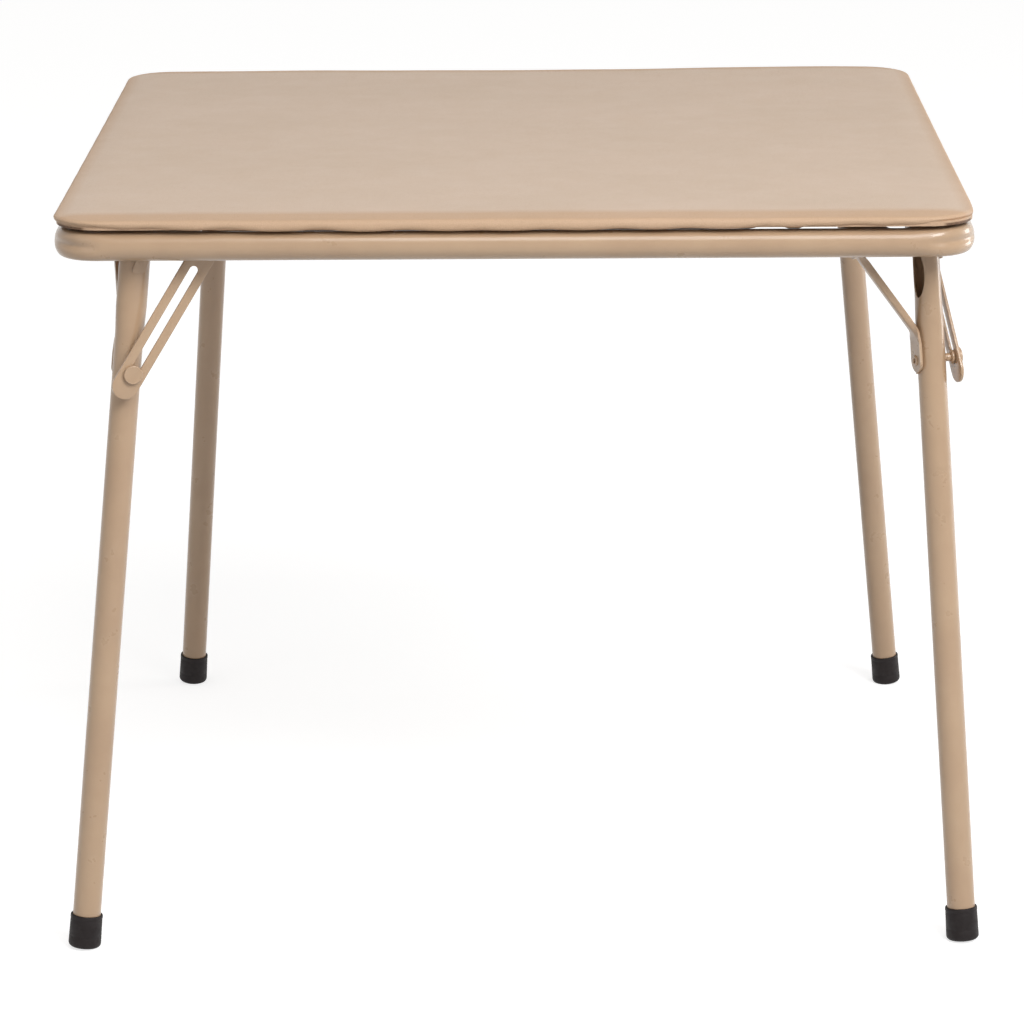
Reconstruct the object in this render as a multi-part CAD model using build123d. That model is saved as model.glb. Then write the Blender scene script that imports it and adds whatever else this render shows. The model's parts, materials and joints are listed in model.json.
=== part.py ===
from build123d import *
import os
from math import asin, atan2, cos, degrees, hypot, radians, sin, sqrt

# A child-size folding card table: a padded square top on a round-tube frame, and four legs that fold
# in a pinwheel, each held open by a slotted lock brace and stiffened by a bent channel strut.
# Millimetres, +Z up, origin on the floor under the middle of the top. -Y is the front.

# Whole table
table_width = 607.8
table_height = 503.2

# Running and fixed fits
turning_gap = 0.05
fixed_gap = 0.05
moving_gap = 0.3
bracket_gap = 0.4
cut_overrun = 5.0

# Frame, one ring of round tube
rail_diameter = 20.0
rail_wall = 1.0
frame_corner_radius = 34.0

# Padded top: hardboard, foam over it, and a vinyl cover folded under as a hem
vinyl_thickness = 0.5
foam_thickness = 4.3
board_thickness = 3.0
panel_lift = 1.1
pad_inset = 0.2
pad_corner_radius = 33.0
pad_roll_width = 27.0
pad_roll_drop = 2.0
pad_edge_radius = 3.7
board_edge_inset = 2.4
hem_width = 24.0
hem_fold_radius = 0.5

# Staples that hold the hem, spread along each side as shares of half the pad's width
staple_length = 8.0
staple_wire = 0.5
staple_bite = 2.0
staple_inset = 6.0
staple_shares = (-0.786, -0.629, -0.419, -0.229, -0.067, 0.073, 0.235, 0.386, 0.556, 0.670, 0.762, 0.847)
corner_staple_share = 0.5

# Where each leg hinges, for the front right corner, and how the leg stands and folds
hinge_from_side = 31.4
hinge_from_front = 54.1
hinge_below_top = 27.0
fold_plan_turn = 18.0
leg_splay = 6.3
hinge_axis_tilt = 1.75
inner_from_side = 73.4
inner_from_front = 42.8
inner_plan_turn = 2.0
inner_axis_tilt = 4.3

# Leg tube, round, squeezed oval at its top so that it fits between the bracket's flanges
leg_diameter = 19.0
leg_wall = 1.0
leg_above_hinge = 5.0
leg_oval_across = 17.4
leg_oval_along = 20.6
leg_oval_length = 34.0
leg_squeeze_length = 24.0
window_width = 12.0
window_top = 14.0
window_bottom = 35.0
window_turn = 19.0

# Rubber leg cap
cap_foot_diameter = 22.2
cap_rim_diameter = 21.6
cap_height = 23.0
cap_floor = 3.0
cap_edge_radius = 3.0
cap_flat_depth = 0.4

# Leg bracket: two flanges and a stop web under a gusset that lies on the frame
sheet_thickness = 1.5
gusset_reach = 92.0
gusset_tip = 8.0
inner_gusset_reach = 117.0
bracket_back = 9.0
bracket_drop = 12.0
tongue_front = 2.0
tongue_back = 7.0
tongue_drop = 27.0

# Rivets that legs, struts and braces turn on
pivot_diameter = 6.0
pivot_head_diameter = 11.0
pivot_head_height = 1.6
hinge_head_diameter = 8.4
hinge_head_height = 1.0

# Strut: a strip pressed into a channel, flat at both ends
strip_width = 18.0
strip_thickness = 1.8
strut_channel_width = 8.4
strut_flange_depth = 5.6
strut_pivot_reach = 48.0
strut_top_flat = 10.0
strut_bend_drop = 64.0
strut_taper = 9.0
strut_eye_radius = 8.0

# Lock: pin, slotted brace and the brace's pivot
pin_drop = 80.0
pin_diameter = 5.4
pin_collar_diameter = 10.0
pin_collar_height = 1.8
pin_head_diameter = 12.6
pin_head_height = 2.4
pin_head_edge = 0.6
rivet_rim_diameter = 7.4
rivet_rim_height = 1.0
rivet_bore_diameter = 3.2
rivet_bore_depth = 9.0
rivet_stand = 0.2
brace_offset = 6.0
brace_thickness = 2.0
brace_pivot_along = 47.5
brace_pivot_up = 6.2
brace_slot_width = 6.0
brace_slot_start = 23.0
brace_tail = 18.0
tab_thickness = 2.0
tab_eye_radius = 8.0
tab_height = 14.0
side_arm_drop = 3.0

# Screws that hold the panel to the gussets, as places in from the frame's sides
screw_diameter = 3.5
screw_head_diameter = 7.0
screw_head_height = 1.8
screw_bite = 2.6
screw_near_inset = 32.0
screw_far_inset = 64.0
screw_back_inset = 79.0
inner_screw_inset = 100.0

# Worked out from the sizes above
half_width = table_width / 2
rail_radius = rail_diameter / 2
rail_line = half_width - rail_radius
rail_bend = frame_corner_radius - rail_radius
pad_half = half_width - pad_inset
hem_z = table_height - 2 * vinyl_thickness - foam_thickness - board_thickness
board_z = hem_z + vinyl_thickness
rail_top_z = hem_z - panel_lift
rail_z = rail_top_z - rail_radius
gusset_thickness = panel_lift - 2 * fixed_gap
hinge_z = table_height - hinge_below_top
leg_radius = leg_diameter / 2
cap_radius = cap_foot_diameter / 2
pivot_radius = pivot_diameter / 2
flange_face = leg_oval_across / 2 + bracket_gap
brace_face = leg_radius + brace_offset
brace_back = brace_face + brace_thickness
pin_along = -pin_drop * sin(radians(leg_splay))
pin_up = -pin_drop * cos(radians(leg_splay))
brace_span = hypot(brace_pivot_along - pin_along, brace_pivot_up - pin_up)
brace_lean = degrees(atan2(pin_up - brace_pivot_up, pin_along - brace_pivot_along))
strut_face = leg_radius + fixed_gap


class Corner:
    """A leg's hinge, drawn as if at the front right: X along its axis and outwards, Y the way it folds."""

    def __init__(self, quarter, from_side, from_front, plan_turn, axis_tilt,
                 gusset_run, screw_inset, side_arm):
        self.quarter = quarter
        self.x = half_width - from_side
        self.y = from_front - half_width
        self.turn = radians(plan_turn)
        self.gusset_run = gusset_run
        self.screw_inset = screw_inset
        self.side_arm = side_arm
        tilt = radians(axis_tilt)
        self.axis = (cos(self.turn) * cos(tilt), sin(self.turn) * cos(tilt), sin(tilt))
        up = (-sin(tilt) * cos(self.turn), -sin(tilt) * sin(self.turn), cos(tilt))
        self.hinge = Plane(origin=(self.x, self.y, hinge_z), x_dir=self.axis, z_dir=up).location
        self.leg = self.hinge * Rot(-leg_splay, 0, 0)
        lean_cos = cos(tilt) * cos(radians(leg_splay))
        lean_sin = sqrt(1 - lean_cos**2)
        cap_dip = (cap_radius - cap_edge_radius) * lean_sin + cap_edge_radius * (1 - lean_cos)
        self.cap_bottom = (hinge_z - cap_dip + cap_flat_depth) / lean_cos
        self.tube_bottom = self.cap_bottom - cap_floor


def usual_corner(quarter):
    """A corner whose leg stands close to the side rail."""
    return Corner(quarter, hinge_from_side, hinge_from_front, fold_plan_turn, hinge_axis_tilt,
                  gusset_reach, screw_far_inset, False)


quarter_turns = (0, 90, 180, 270)

# The back left leg stands further in from its side rail than the others, and its fold plane is turned less
corners = {
    "front_right": usual_corner(0),
    "back_right": usual_corner(90),
    "back_left": Corner(180, inner_from_side, inner_from_front, inner_plan_turn, inner_axis_tilt,
                        inner_gusset_reach, inner_screw_inset, True),
    "front_left": usual_corner(270),
}


def on_axis(radius, start, end, up=0):
    """A round bar along the hinge axis between two distances, at a height on the leg."""
    bar = Cylinder(radius, end - start, rotation=(0, 90, 0))
    return Pos((start + end) / 2, 0, up) * bar


def side_plate(face, start, thickness):
    """A flat plate square to the hinge axis; the face is drawn as along, up."""
    return extrude(Plane(origin=(start, 0, 0), x_dir=(0, 1, 0), z_dir=(1, 0, 0)).location * face, thickness)


def rounded_square(half, corner, start, height):
    """An upright prism on a square with round corners."""
    return extrude(Pos(0, 0, start) * RectangleRounded(2 * half, 2 * half, corner), height)


def rail_ring(radius):
    """A closed ring of round bar along the middle of the frame's tube."""
    path = Pos(0, 0, rail_z) * RectangleRounded(2 * rail_line, 2 * rail_line, rail_bend).wire()
    section = Plane(origin=(0, -rail_line, rail_z), z_dir=(1, 0, 0)) * Circle(radius)
    return sweep(section, path)


def frame_tube_ring():
    return rail_ring(rail_radius) - rail_ring(rail_radius - rail_wall)


def pad_block(inside, bottom):
    """The pad's outer form drawn in by a thickness: flat, rolled down at the edge, cut off at a height."""
    top = table_height - inside
    roll_radius = (pad_roll_width**2 + pad_roll_drop**2) / (2 * pad_roll_drop)
    shoulder = pad_roll_width - pad_edge_radius
    slope = asin(shoulder / roll_radius)
    gentle = roll_radius - inside
    tight = pad_edge_radius / (1 - sin(slope)) - inside
    gentle_end = (gentle * sin(slope), top - gentle * (1 - cos(slope)))
    tight_middle = (gentle_end[0] - tight * sin(slope), gentle_end[1] - tight * cos(slope))
    half_turn = (radians(90) + slope) / 2
    on_gentle = (gentle * sin(slope / 2), top - gentle * (1 - cos(slope / 2)))
    on_tight = (tight_middle[0] + tight * sin(half_turn), tight_middle[1] + tight * cos(half_turn))
    edge = (tight_middle[0] + tight, tight_middle[1])
    outline = (
        ThreePointArc((0, top), on_gentle, gentle_end)
        + ThreePointArc(gentle_end, on_tight, edge)
        + Polyline(edge, (edge[0], bottom), (0, bottom), (0, top))
    )
    path_half = pad_half - pad_roll_width
    path = RectangleRounded(2 * path_half, 2 * path_half, pad_corner_radius - pad_roll_width).wire()
    section = Plane(origin=(path_half, 0, 0), x_dir=(1, 0, 0), z_dir=(0, -1, 0)) * make_face(outline)
    middle = rounded_square(path_half, pad_corner_radius - pad_roll_width, bottom, top - bottom)
    return sweep(section, path) + middle


def top_board():
    half = pad_half - board_edge_inset
    return rounded_square(half, pad_corner_radius - board_edge_inset, board_z, board_thickness)


def foam_pad(board):
    return pad_block(vinyl_thickness, board_z) - board


def vinyl_cover():
    outer = pad_block(0, hem_z)
    lower_rim = outer.edges().group_by(Axis.Z)[0]
    outer = fillet(lower_rim, hem_fold_radius)
    inner = pad_block(vinyl_thickness, board_z)
    opening_half = pad_half - hem_width
    opening_corner = pad_corner_radius - hem_width
    opening = rounded_square(opening_half, opening_corner, hem_z - cut_overrun, cut_overrun + board_thickness)
    return outer - inner - opening


def staple():
    """One staple, its crown under the hem and its two prongs up into the board."""
    prong_height = vinyl_thickness + staple_bite
    prong = Box(staple_wire, staple_wire, prong_height)
    prong_x = (staple_length - staple_wire) / 2
    crown = Pos(0, 0, -staple_wire / 2) * Box(staple_length, staple_wire, staple_wire)
    return crown + [Pos(side * prong_x, 0, prong_height / 2) * prong for side in (-1, 1)]


def cover_staples():
    one = staple()
    row_y = staple_inset - pad_half
    bend_middle = pad_half - pad_corner_radius
    bend_radius = pad_corner_radius - staple_inset
    bend_turn = 90 * corner_staple_share
    solids = []
    for quarter in quarter_turns:
        side = [Pos(share * pad_half, row_y, hem_z) * one for share in staple_shares]
        corner = Pos(bend_middle, -bend_middle, hem_z) * Rot(0, 0, bend_turn) * Pos(0, -bend_radius, 0) * one
        solids += [Rot(0, 0, quarter) * piece for piece in side + [corner]]
    return Compound(children=solids)


def panel_screws():
    head_top = rail_top_z + fixed_gap
    shank_height = gusset_thickness + fixed_gap + vinyl_thickness + screw_bite
    head = Pos(0, 0, -screw_head_height / 2) * Cylinder(screw_head_diameter / 2, screw_head_height)
    shank = Pos(0, 0, shank_height / 2) * Cylinder(screw_diameter / 2, shank_height)
    screw = Pos(0, 0, head_top) * (head + shank)
    return Compound(children=[Rot(0, 0, corner.quarter) * Pos(*place) * screw
                              for corner in corners.values() for place in screw_places(corner)])


def screw_places(corner):
    """Where a corner's gusset is screwed to the panel, in plan and drawn at the front right."""
    near = half_width - screw_near_inset
    return ((half_width - corner.screw_inset, -near), (near, screw_back_inset - half_width))


def leg_bracket(place):
    """Gusset on the frame's corner, two flanges beside the leg, and the web that the leg stops on."""
    gusset_z = rail_top_z + fixed_gap
    outer = rounded_square(rail_line, rail_bend, gusset_z, gusset_thickness)
    start = rail_line - place.gusset_run
    tip = rail_line - gusset_tip
    corner = rail_line + cut_overrun
    outline = Polyline((start, -corner), (start, -tip), (tip, -start), (corner, -start), (corner, -corner),
                       close=True)
    gusset = outer & extrude(Pos(0, 0, gusset_z) * make_face(outline), gusset_thickness)
    holes = [Pos(*spot, gusset_z) * Cylinder(screw_diameter / 2 + fixed_gap, cut_overrun)
             for spot in screw_places(place)]
    stop_along = -leg_oval_along / 2 - bracket_drop * sin(radians(leg_splay)) - bracket_gap
    front = stop_along - sheet_thickness
    top = rail_top_z + cut_overrun - hinge_z
    flange = Pos((front + bracket_back) / 2, (top - bracket_drop) / 2) * Rectangle(
        bracket_back - front, top + bracket_drop)
    tongue_middle = (tongue_back - tongue_front) / 2
    tongue = Pos(tongue_middle, -tongue_drop / 2) * SlotOverall(
        tongue_drop + bracket_drop, tongue_front + tongue_back, 90)
    inner_flange = side_plate(flange, -flange_face - sheet_thickness, sheet_thickness)
    outer_flange = side_plate(flange + tongue, flange_face, sheet_thickness)
    web_middle = (front + stop_along) / 2
    web = Pos(0, web_middle, (top - bracket_drop) / 2) * Box(
        2 * flange_face + 2 * sheet_thickness, sheet_thickness, top + bracket_drop)
    folded = place.hinge * (inner_flange + outer_flange + web - on_axis(
        pivot_radius + fixed_gap, -half_width, half_width))
    above = Pos(place.x, place.y, gusset_z + half_width) * Box(half_width, half_width, 2 * half_width)
    return (folded - above) + (gusset - holes) - rail_ring(rail_radius + fixed_gap)


def hinge_rivet(place):
    end = flange_face + sheet_thickness + fixed_gap
    shank = on_axis(pivot_radius, -end, end)
    heads = [on_axis(hinge_head_diameter / 2, end, end + hinge_head_height),
             on_axis(hinge_head_diameter / 2, -end - hinge_head_height, -end)]
    return place.hinge * (shank + heads)


def pivot_rivet(place, start, end, along, up):
    """A rivet through two plates that turn on each other, its heads just off their outer faces."""
    shank = on_axis(pivot_radius, start - moving_gap, end + moving_gap)
    inner_head = on_axis(pivot_head_diameter / 2, start - moving_gap - pivot_head_height, start - moving_gap)
    outer_head = on_axis(pivot_head_diameter / 2, end + moving_gap, end + moving_gap + pivot_head_height)
    return place.hinge * Pos(0, along, up) * (shank + inner_head + outer_head)


def strut_tab(place):
    """A lug from the front rail to the strut's pivot on the hinge axis."""
    start = -strut_pivot_reach - strip_thickness - moving_gap - tab_thickness
    reach = (rail_line + place.y + start * sin(place.turn)) / cos(place.turn)
    low = rail_z - hinge_z - tab_height / 2
    arm = Pos(-reach / 2, low + tab_height / 2) * Rectangle(reach, tab_height)
    lug = side_plate(Circle(tab_eye_radius) + arm, start, tab_thickness)
    lug -= on_axis(pivot_radius + fixed_gap, -half_width, half_width)
    return place.hinge * lug - rail_ring(rail_radius + fixed_gap)


def brace_tab(place):
    """A lug from the side rail to the brace's pivot, with an arm square to it where the rail is far."""
    start = brace_back + moving_gap
    eye = Pos(brace_pivot_along, brace_pivot_up) * Circle(tab_eye_radius)
    if place.side_arm:
        far = brace_pivot_along + tab_eye_radius
        arm = Pos((brace_pivot_along + far) / 2, brace_pivot_up) * Rectangle(tab_eye_radius, tab_height)
        run = (rail_line - place.x) / cos(place.turn) - start
        side = Box(run, tab_thickness, tab_height)
        side = Pos(start + run / 2, far - tab_thickness / 2, brace_pivot_up - side_arm_drop) * side
        lug = side_plate(eye + arm, start, tab_thickness) + side
    else:
        middle = start + tab_thickness / 2
        meet = (place.x + middle * cos(place.turn) - rail_line + rail_radius) / sin(place.turn)
        reach = brace_pivot_along - meet
        arm = Pos(brace_pivot_along - reach / 2, brace_pivot_up) * Rectangle(reach, tab_height)
        lug = side_plate(eye + arm, start, tab_thickness)
    bore = on_axis(pivot_radius + fixed_gap, -half_width, half_width)
    lug -= Pos(0, brace_pivot_along, brace_pivot_up) * bore
    return place.hinge * lug - rail_ring(rail_radius + fixed_gap)


def leg_column(place, draw_in):
    """The leg's outer form drawn in by a thickness: round, then squeezed to an oval at the top."""
    oval = Ellipse(leg_oval_across / 2 - draw_in, leg_oval_along / 2 - draw_in)
    ring = Circle(leg_radius - draw_in)
    squeeze_end = leg_oval_length + leg_squeeze_length
    head = extrude(Pos(0, 0, -leg_oval_length) * oval, leg_oval_length + leg_above_hinge)
    squeeze = loft([Pos(0, 0, -squeeze_end) * ring, Pos(0, 0, -leg_oval_length) * oval])
    low = fixed_gap - place.tube_bottom
    shaft = extrude(Pos(0, 0, low) * ring, -squeeze_end - low)
    return head + squeeze + shaft


def leg_tube(place):
    window_height = window_bottom - window_top
    window_face = SlotOverall(window_height, window_width, 90)
    window_plane = Plane(origin=(0, 0, -(window_top + window_bottom) / 2), x_dir=(0, 1, 0), z_dir=(-1, 0, 0))
    window = Rot(0, 0, window_turn) * extrude(window_plane * window_face, leg_diameter)
    tube = leg_column(place, 0) - leg_column(place, leg_wall) - window
    tube -= on_axis(pivot_radius + turning_gap, -leg_diameter, leg_diameter)
    tube -= on_axis(pin_diameter / 2 + fixed_gap, -leg_diameter, leg_diameter, -pin_drop)
    return place.leg * tube


def leg_cap(place):
    middle = -place.cap_bottom + cap_height / 2
    cap = Pos(0, 0, middle) * Cone(cap_radius, cap_rim_diameter / 2, cap_height)
    cap = fillet(cap.edges().sort_by(Axis.Z)[0], cap_edge_radius)
    bore = Cylinder(leg_radius + fixed_gap, cap_height)
    cap = place.leg * (cap - Pos(0, 0, middle + cap_floor) * bore)
    floor = Pos(place.x, place.y, -cap_height / 2) * Box(half_width, half_width, cap_height)
    return cap - floor


def strut_strip():
    """The strut seen along the fold, from the leg up and inwards to its pivot, as one bent strip."""
    inner_x = -strut_face - strip_thickness
    top_x = -strut_pivot_reach
    low = -pin_drop - strip_width / 2
    high = strut_eye_radius
    lean = atan2(strut_pivot_reach - strut_face, strut_bend_drop - strut_top_flat)
    shift = strip_thickness * (1 - sin(lean)) / cos(lean)
    return make_face(Polyline(
        (-strut_face, low), (-strut_face, -strut_bend_drop), (top_x, -strut_top_flat), (top_x, high),
        (top_x - strip_thickness, high), (top_x - strip_thickness, -strut_top_flat - shift),
        (inner_x, -strut_bend_drop - shift), (inner_x, low), close=True))


def leg_strut(place):
    """Bent strip with flat ends, pressed into a channel between its two bends."""
    fold_plane = Plane(origin=(0, strip_width / 2, 0), x_dir=(1, 0, 0), z_dir=(0, -1, 0))
    strip = extrude(fold_plane * strut_strip(), strip_width)
    end = strip_width / 2
    waist = strut_channel_width / 2
    foot_top = -strut_bend_drop + strut_taper
    head_low = -strut_top_flat - strut_taper
    waist_low = foot_top + strut_taper
    waist_high = head_low - strut_taper
    foot = Pos(0, -pin_drop) * Circle(end) + Pos(0, (foot_top - pin_drop) / 2) * Rectangle(
        strip_width, foot_top + pin_drop)
    lower = Polyline((-end, foot_top), (-waist, waist_low), (waist, waist_low), (end, foot_top), close=True)
    eye = strut_eye_radius
    upper = Polyline((-eye, head_low), (-waist, waist_high), (waist, waist_high), (eye, head_low), close=True)
    middle = Pos(0, (waist_low + waist_high) / 2) * Rectangle(strut_channel_width, waist_high - waist_low)
    head = Circle(eye) + Pos(0, head_low / 2) * Rectangle(2 * eye, -head_low)
    outline = foot + make_face(lower) + middle + make_face(upper) + head
    strip &= side_plate(outline, -2 * strut_pivot_reach, 2 * strut_pivot_reach)
    lean = atan2(strut_pivot_reach - strut_face, strut_bend_drop - strut_top_flat)
    across = (strut_flange_depth * cos(lean), strut_flange_depth * sin(lean))
    slope = (strut_pivot_reach - strut_face) / (strut_bend_drop - strut_top_flat)
    low_x = -strut_face - (foot_top + strut_bend_drop) * slope
    high_x = -strut_face - (head_low + strut_bend_drop) * slope
    taper_x = strut_taper * slope
    side = make_face(Polyline(
        (low_x, foot_top), (high_x, head_low),
        (high_x + across[0] + taper_x, head_low + across[1] - strut_taper),
        (low_x + across[0] - taper_x, foot_top + across[1] + strut_taper), close=True))
    flange = extrude(Plane(origin=(0, 0, 0), x_dir=(1, 0, 0), z_dir=(0, -1, 0)) * side, strip_thickness)
    strip += Pos(0, waist, 0) * flange
    strip += Pos(0, strip_thickness - waist, 0) * flange
    strip -= on_axis(pin_diameter / 2 + fixed_gap, -leg_diameter, 0, -pin_drop)
    strip -= on_axis(pivot_radius + turning_gap, -2 * strut_pivot_reach, -leg_diameter)
    return place.leg * strip


def strut_rivet(place):
    """Tubular rivet through the strut and the leg, with a rolled rim at its inner end."""
    rim_x = -strut_face - strip_thickness - fixed_gap
    shank = on_axis(pin_diameter / 2, rim_x, leg_radius + rivet_stand)
    rim = on_axis(rivet_rim_diameter / 2, rim_x - rivet_rim_height, rim_x)
    bore = on_axis(rivet_bore_diameter / 2, rim_x - rivet_rim_height, rim_x + rivet_bore_depth)
    return place.leg * Pos(0, 0, -pin_drop) * (shank + rim - bore)


def brace_frame(place):
    """At the brace's pivot, on its leg-side face, X down the brace."""
    return place.hinge * Plane(
        origin=(brace_face, brace_pivot_along, brace_pivot_up),
        x_dir=(0, cos(radians(brace_lean)), sin(radians(brace_lean))), z_dir=(1, 0, 0)).location


def lock_brace(place):
    straight = brace_span + brace_tail - strip_width / 2
    bar = Pos(straight / 2, 0) * SlotCenterToCenter(straight, strip_width)
    slot_run = brace_span - brace_slot_start
    slot = Pos(brace_slot_start + slot_run / 2, 0) * SlotCenterToCenter(slot_run, brace_slot_width)
    hole = Circle(pivot_radius + turning_gap)
    return brace_frame(place) * extrude(bar - slot - hole, brace_thickness)


def lock_pin(place):
    """Headed pin that runs in the brace's slot, with a collar on the leg side."""
    inner_end = leg_radius + rivet_stand + moving_gap - brace_face
    collar_end = -moving_gap
    head_start = brace_thickness + moving_gap
    shank_length = head_start - inner_end
    shank = Pos(0, 0, inner_end + shank_length / 2) * Cylinder(pin_diameter / 2, shank_length)
    collar = Cylinder(pin_collar_diameter / 2, pin_collar_height)
    collar = Pos(0, 0, collar_end - pin_collar_height / 2) * collar
    head = Pos(0, 0, head_start + pin_head_height / 2) * Cylinder(pin_head_diameter / 2, pin_head_height)
    head = fillet(head.edges().sort_by(Axis.Z)[-1], pin_head_edge)
    return brace_frame(place) * Pos(brace_span, 0, 0) * (shank + collar + head)


def corner_pieces(place):
    """Every piece of a corner by name, drawn at the front right."""
    strut_start = -strut_pivot_reach - strip_thickness - moving_gap - tab_thickness
    brace_end = brace_back + moving_gap + tab_thickness
    return {
        "leg_bracket": leg_bracket(place),
        "hinge_rivet": hinge_rivet(place),
        "strut_tab": strut_tab(place),
        "strut_pivot_rivet": pivot_rivet(place, strut_start, -strut_pivot_reach, 0, 0),
        "brace_tab": brace_tab(place),
        "brace_pivot_rivet": pivot_rivet(place, brace_face, brace_end, brace_pivot_along, brace_pivot_up),
        "leg_tube": leg_tube(place),
        "leg_cap": leg_cap(place),
        "leg_strut": leg_strut(place),
        "strut_rivet": strut_rivet(place),
        "lock_brace": lock_brace(place),
        "lock_pin": lock_pin(place),
    }


def build_table():
    board = top_board()
    pieces = {
        "frame_tube_ring": frame_tube_ring(),
        "top_board": board,
        "foam_pad": foam_pad(board),
        "vinyl_cover": vinyl_cover(),
        "cover_staples": cover_staples(),
        "panel_screws": panel_screws(),
    }
    for label, corner in corners.items():
        for name, piece in corner_pieces(corner).items():
            pieces[label + "_" + name] = Rot(0, 0, corner.quarter) * piece
    return pieces


os.makedirs("parts", exist_ok=True)
for name, piece in build_table().items():
    export_step(piece, "parts/" + name + ".step")
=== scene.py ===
"""Looks of the child-size folding card table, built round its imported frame.

Metres, +Z up, the origin on the floor under the middle of the top, -Y the front.
Each sub-assembly is a class that holds its sizes, builds its meshes and dresses them.
"""

from __future__ import annotations

import json
import logging
import math
from dataclasses import dataclass
from enum import Enum
from typing import Callable, Iterator, NamedTuple, Optional, Sequence

import bmesh
import bpy
import numpy as np
from mathutils import Matrix, Vector

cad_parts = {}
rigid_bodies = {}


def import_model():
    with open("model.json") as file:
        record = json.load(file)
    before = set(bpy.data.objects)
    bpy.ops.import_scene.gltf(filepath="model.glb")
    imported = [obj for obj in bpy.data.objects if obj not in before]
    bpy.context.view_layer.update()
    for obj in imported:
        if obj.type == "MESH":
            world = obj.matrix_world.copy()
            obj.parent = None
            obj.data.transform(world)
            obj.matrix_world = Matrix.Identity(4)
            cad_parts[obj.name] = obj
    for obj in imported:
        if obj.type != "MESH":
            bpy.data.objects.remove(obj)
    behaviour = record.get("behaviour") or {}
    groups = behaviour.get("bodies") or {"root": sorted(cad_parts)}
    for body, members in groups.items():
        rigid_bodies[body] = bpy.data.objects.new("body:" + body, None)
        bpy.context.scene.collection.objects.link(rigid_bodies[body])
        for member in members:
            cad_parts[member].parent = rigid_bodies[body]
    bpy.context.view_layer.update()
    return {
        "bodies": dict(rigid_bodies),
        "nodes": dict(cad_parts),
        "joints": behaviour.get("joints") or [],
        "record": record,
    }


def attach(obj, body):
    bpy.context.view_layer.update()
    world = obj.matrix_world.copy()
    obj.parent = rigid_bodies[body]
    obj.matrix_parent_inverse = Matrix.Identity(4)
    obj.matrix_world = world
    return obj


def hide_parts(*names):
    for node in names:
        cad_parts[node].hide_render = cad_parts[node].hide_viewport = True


log = logging.getLogger("card_table")

TOP_BODY = "table_top"
QUARTER = math.pi / 2
CLEARANCE = 5e-5
TUBE_RADIUS = 0.0095
PAD_HALF = 0.3037
PAD_CORNER = 0.033
HEM_HEIGHT = 0.4949
WHITE = (1.0, 1.0, 1.0, 1.0)

Object = bpy.types.Object
Socket = bpy.types.NodeSocket
Point = Sequence[float]
Span = tuple[float, float]
Triple = tuple[float, float, float]
Colour = tuple[int, int, int]
Ring = list[Vector]
Place = tuple[Vector, Vector, Vector]

X_WAY = Vector((1.0, 0.0, 0.0))
Y_WAY = Vector((0.0, 1.0, 0.0))
UP = Vector((0.0, 0.0, 1.0))


class Corner(Enum):
    """The table's corners, each with its quarter turns from the front right one."""

    FRONT_RIGHT = ("front_right", 0)
    BACK_RIGHT = ("back_right", 1)
    BACK_LEFT = ("back_left", 2)
    FRONT_LEFT = ("front_left", 3)

    @property
    def label(self) -> str:
        """The corner's name as the CAD nodes and bodies spell it."""
        return self.value[0]

    @property
    def turn(self) -> Matrix:
        """The turn from the front right corner to this one."""
        return Matrix.Rotation(math.radians(90 * self.value[1]), 4, "Z")


class Slot(Enum):
    """The record's material slots."""

    VINYL = "padded_vinyl"
    PAINT = "tan_paint"
    RUBBER = "rubber_cap"
    ZINC = "zinc_steel"


def smooth_step(value: float, low: float, high: float) -> float:
    """Rises smoothly from 0 at low to 1 at high.

    Args:
        value: where to read the step.
        low: the end that gives 0.
        high: the end that gives 1.

    Returns:
        A share from 0 to 1.
    """
    t = min(1.0, max(0.0, (value - low) / (high - low)))
    return t * t * (3 - 2 * t)


def bump(value, middle: float, spread: float):
    """A smooth hill, 1 high in its middle.

    Args:
        value: where to read it, a number or an array.
        middle: the hill's middle.
        spread: how wide it is.

    Returns:
        The hill's height.
    """
    return np.exp(-((value - middle) / spread) ** 2)


def steps(total: float, count: int, last: bool = False) -> list[float]:
    """Even steps from 0 towards a total.

    Args:
        total: where the steps lead.
        count: how many steps there are.
        last: the total is one of them.

    Returns:
        The values.
    """
    return [total * i / count for i in range(count + last)]


def linear(colour: Colour) -> tuple[float, ...]:
    """Turns a display colour of 0 to 255 into linear light.

    Args:
        colour: red, green and blue.

    Returns:
        The colour in linear light, with full alpha.
    """
    shares = [value / 255 for value in colour]
    return *(s / 12.92 if s <= 0.04045 else ((s + 0.055) / 1.055) ** 2.4 for s in shares), 1.0


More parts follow.
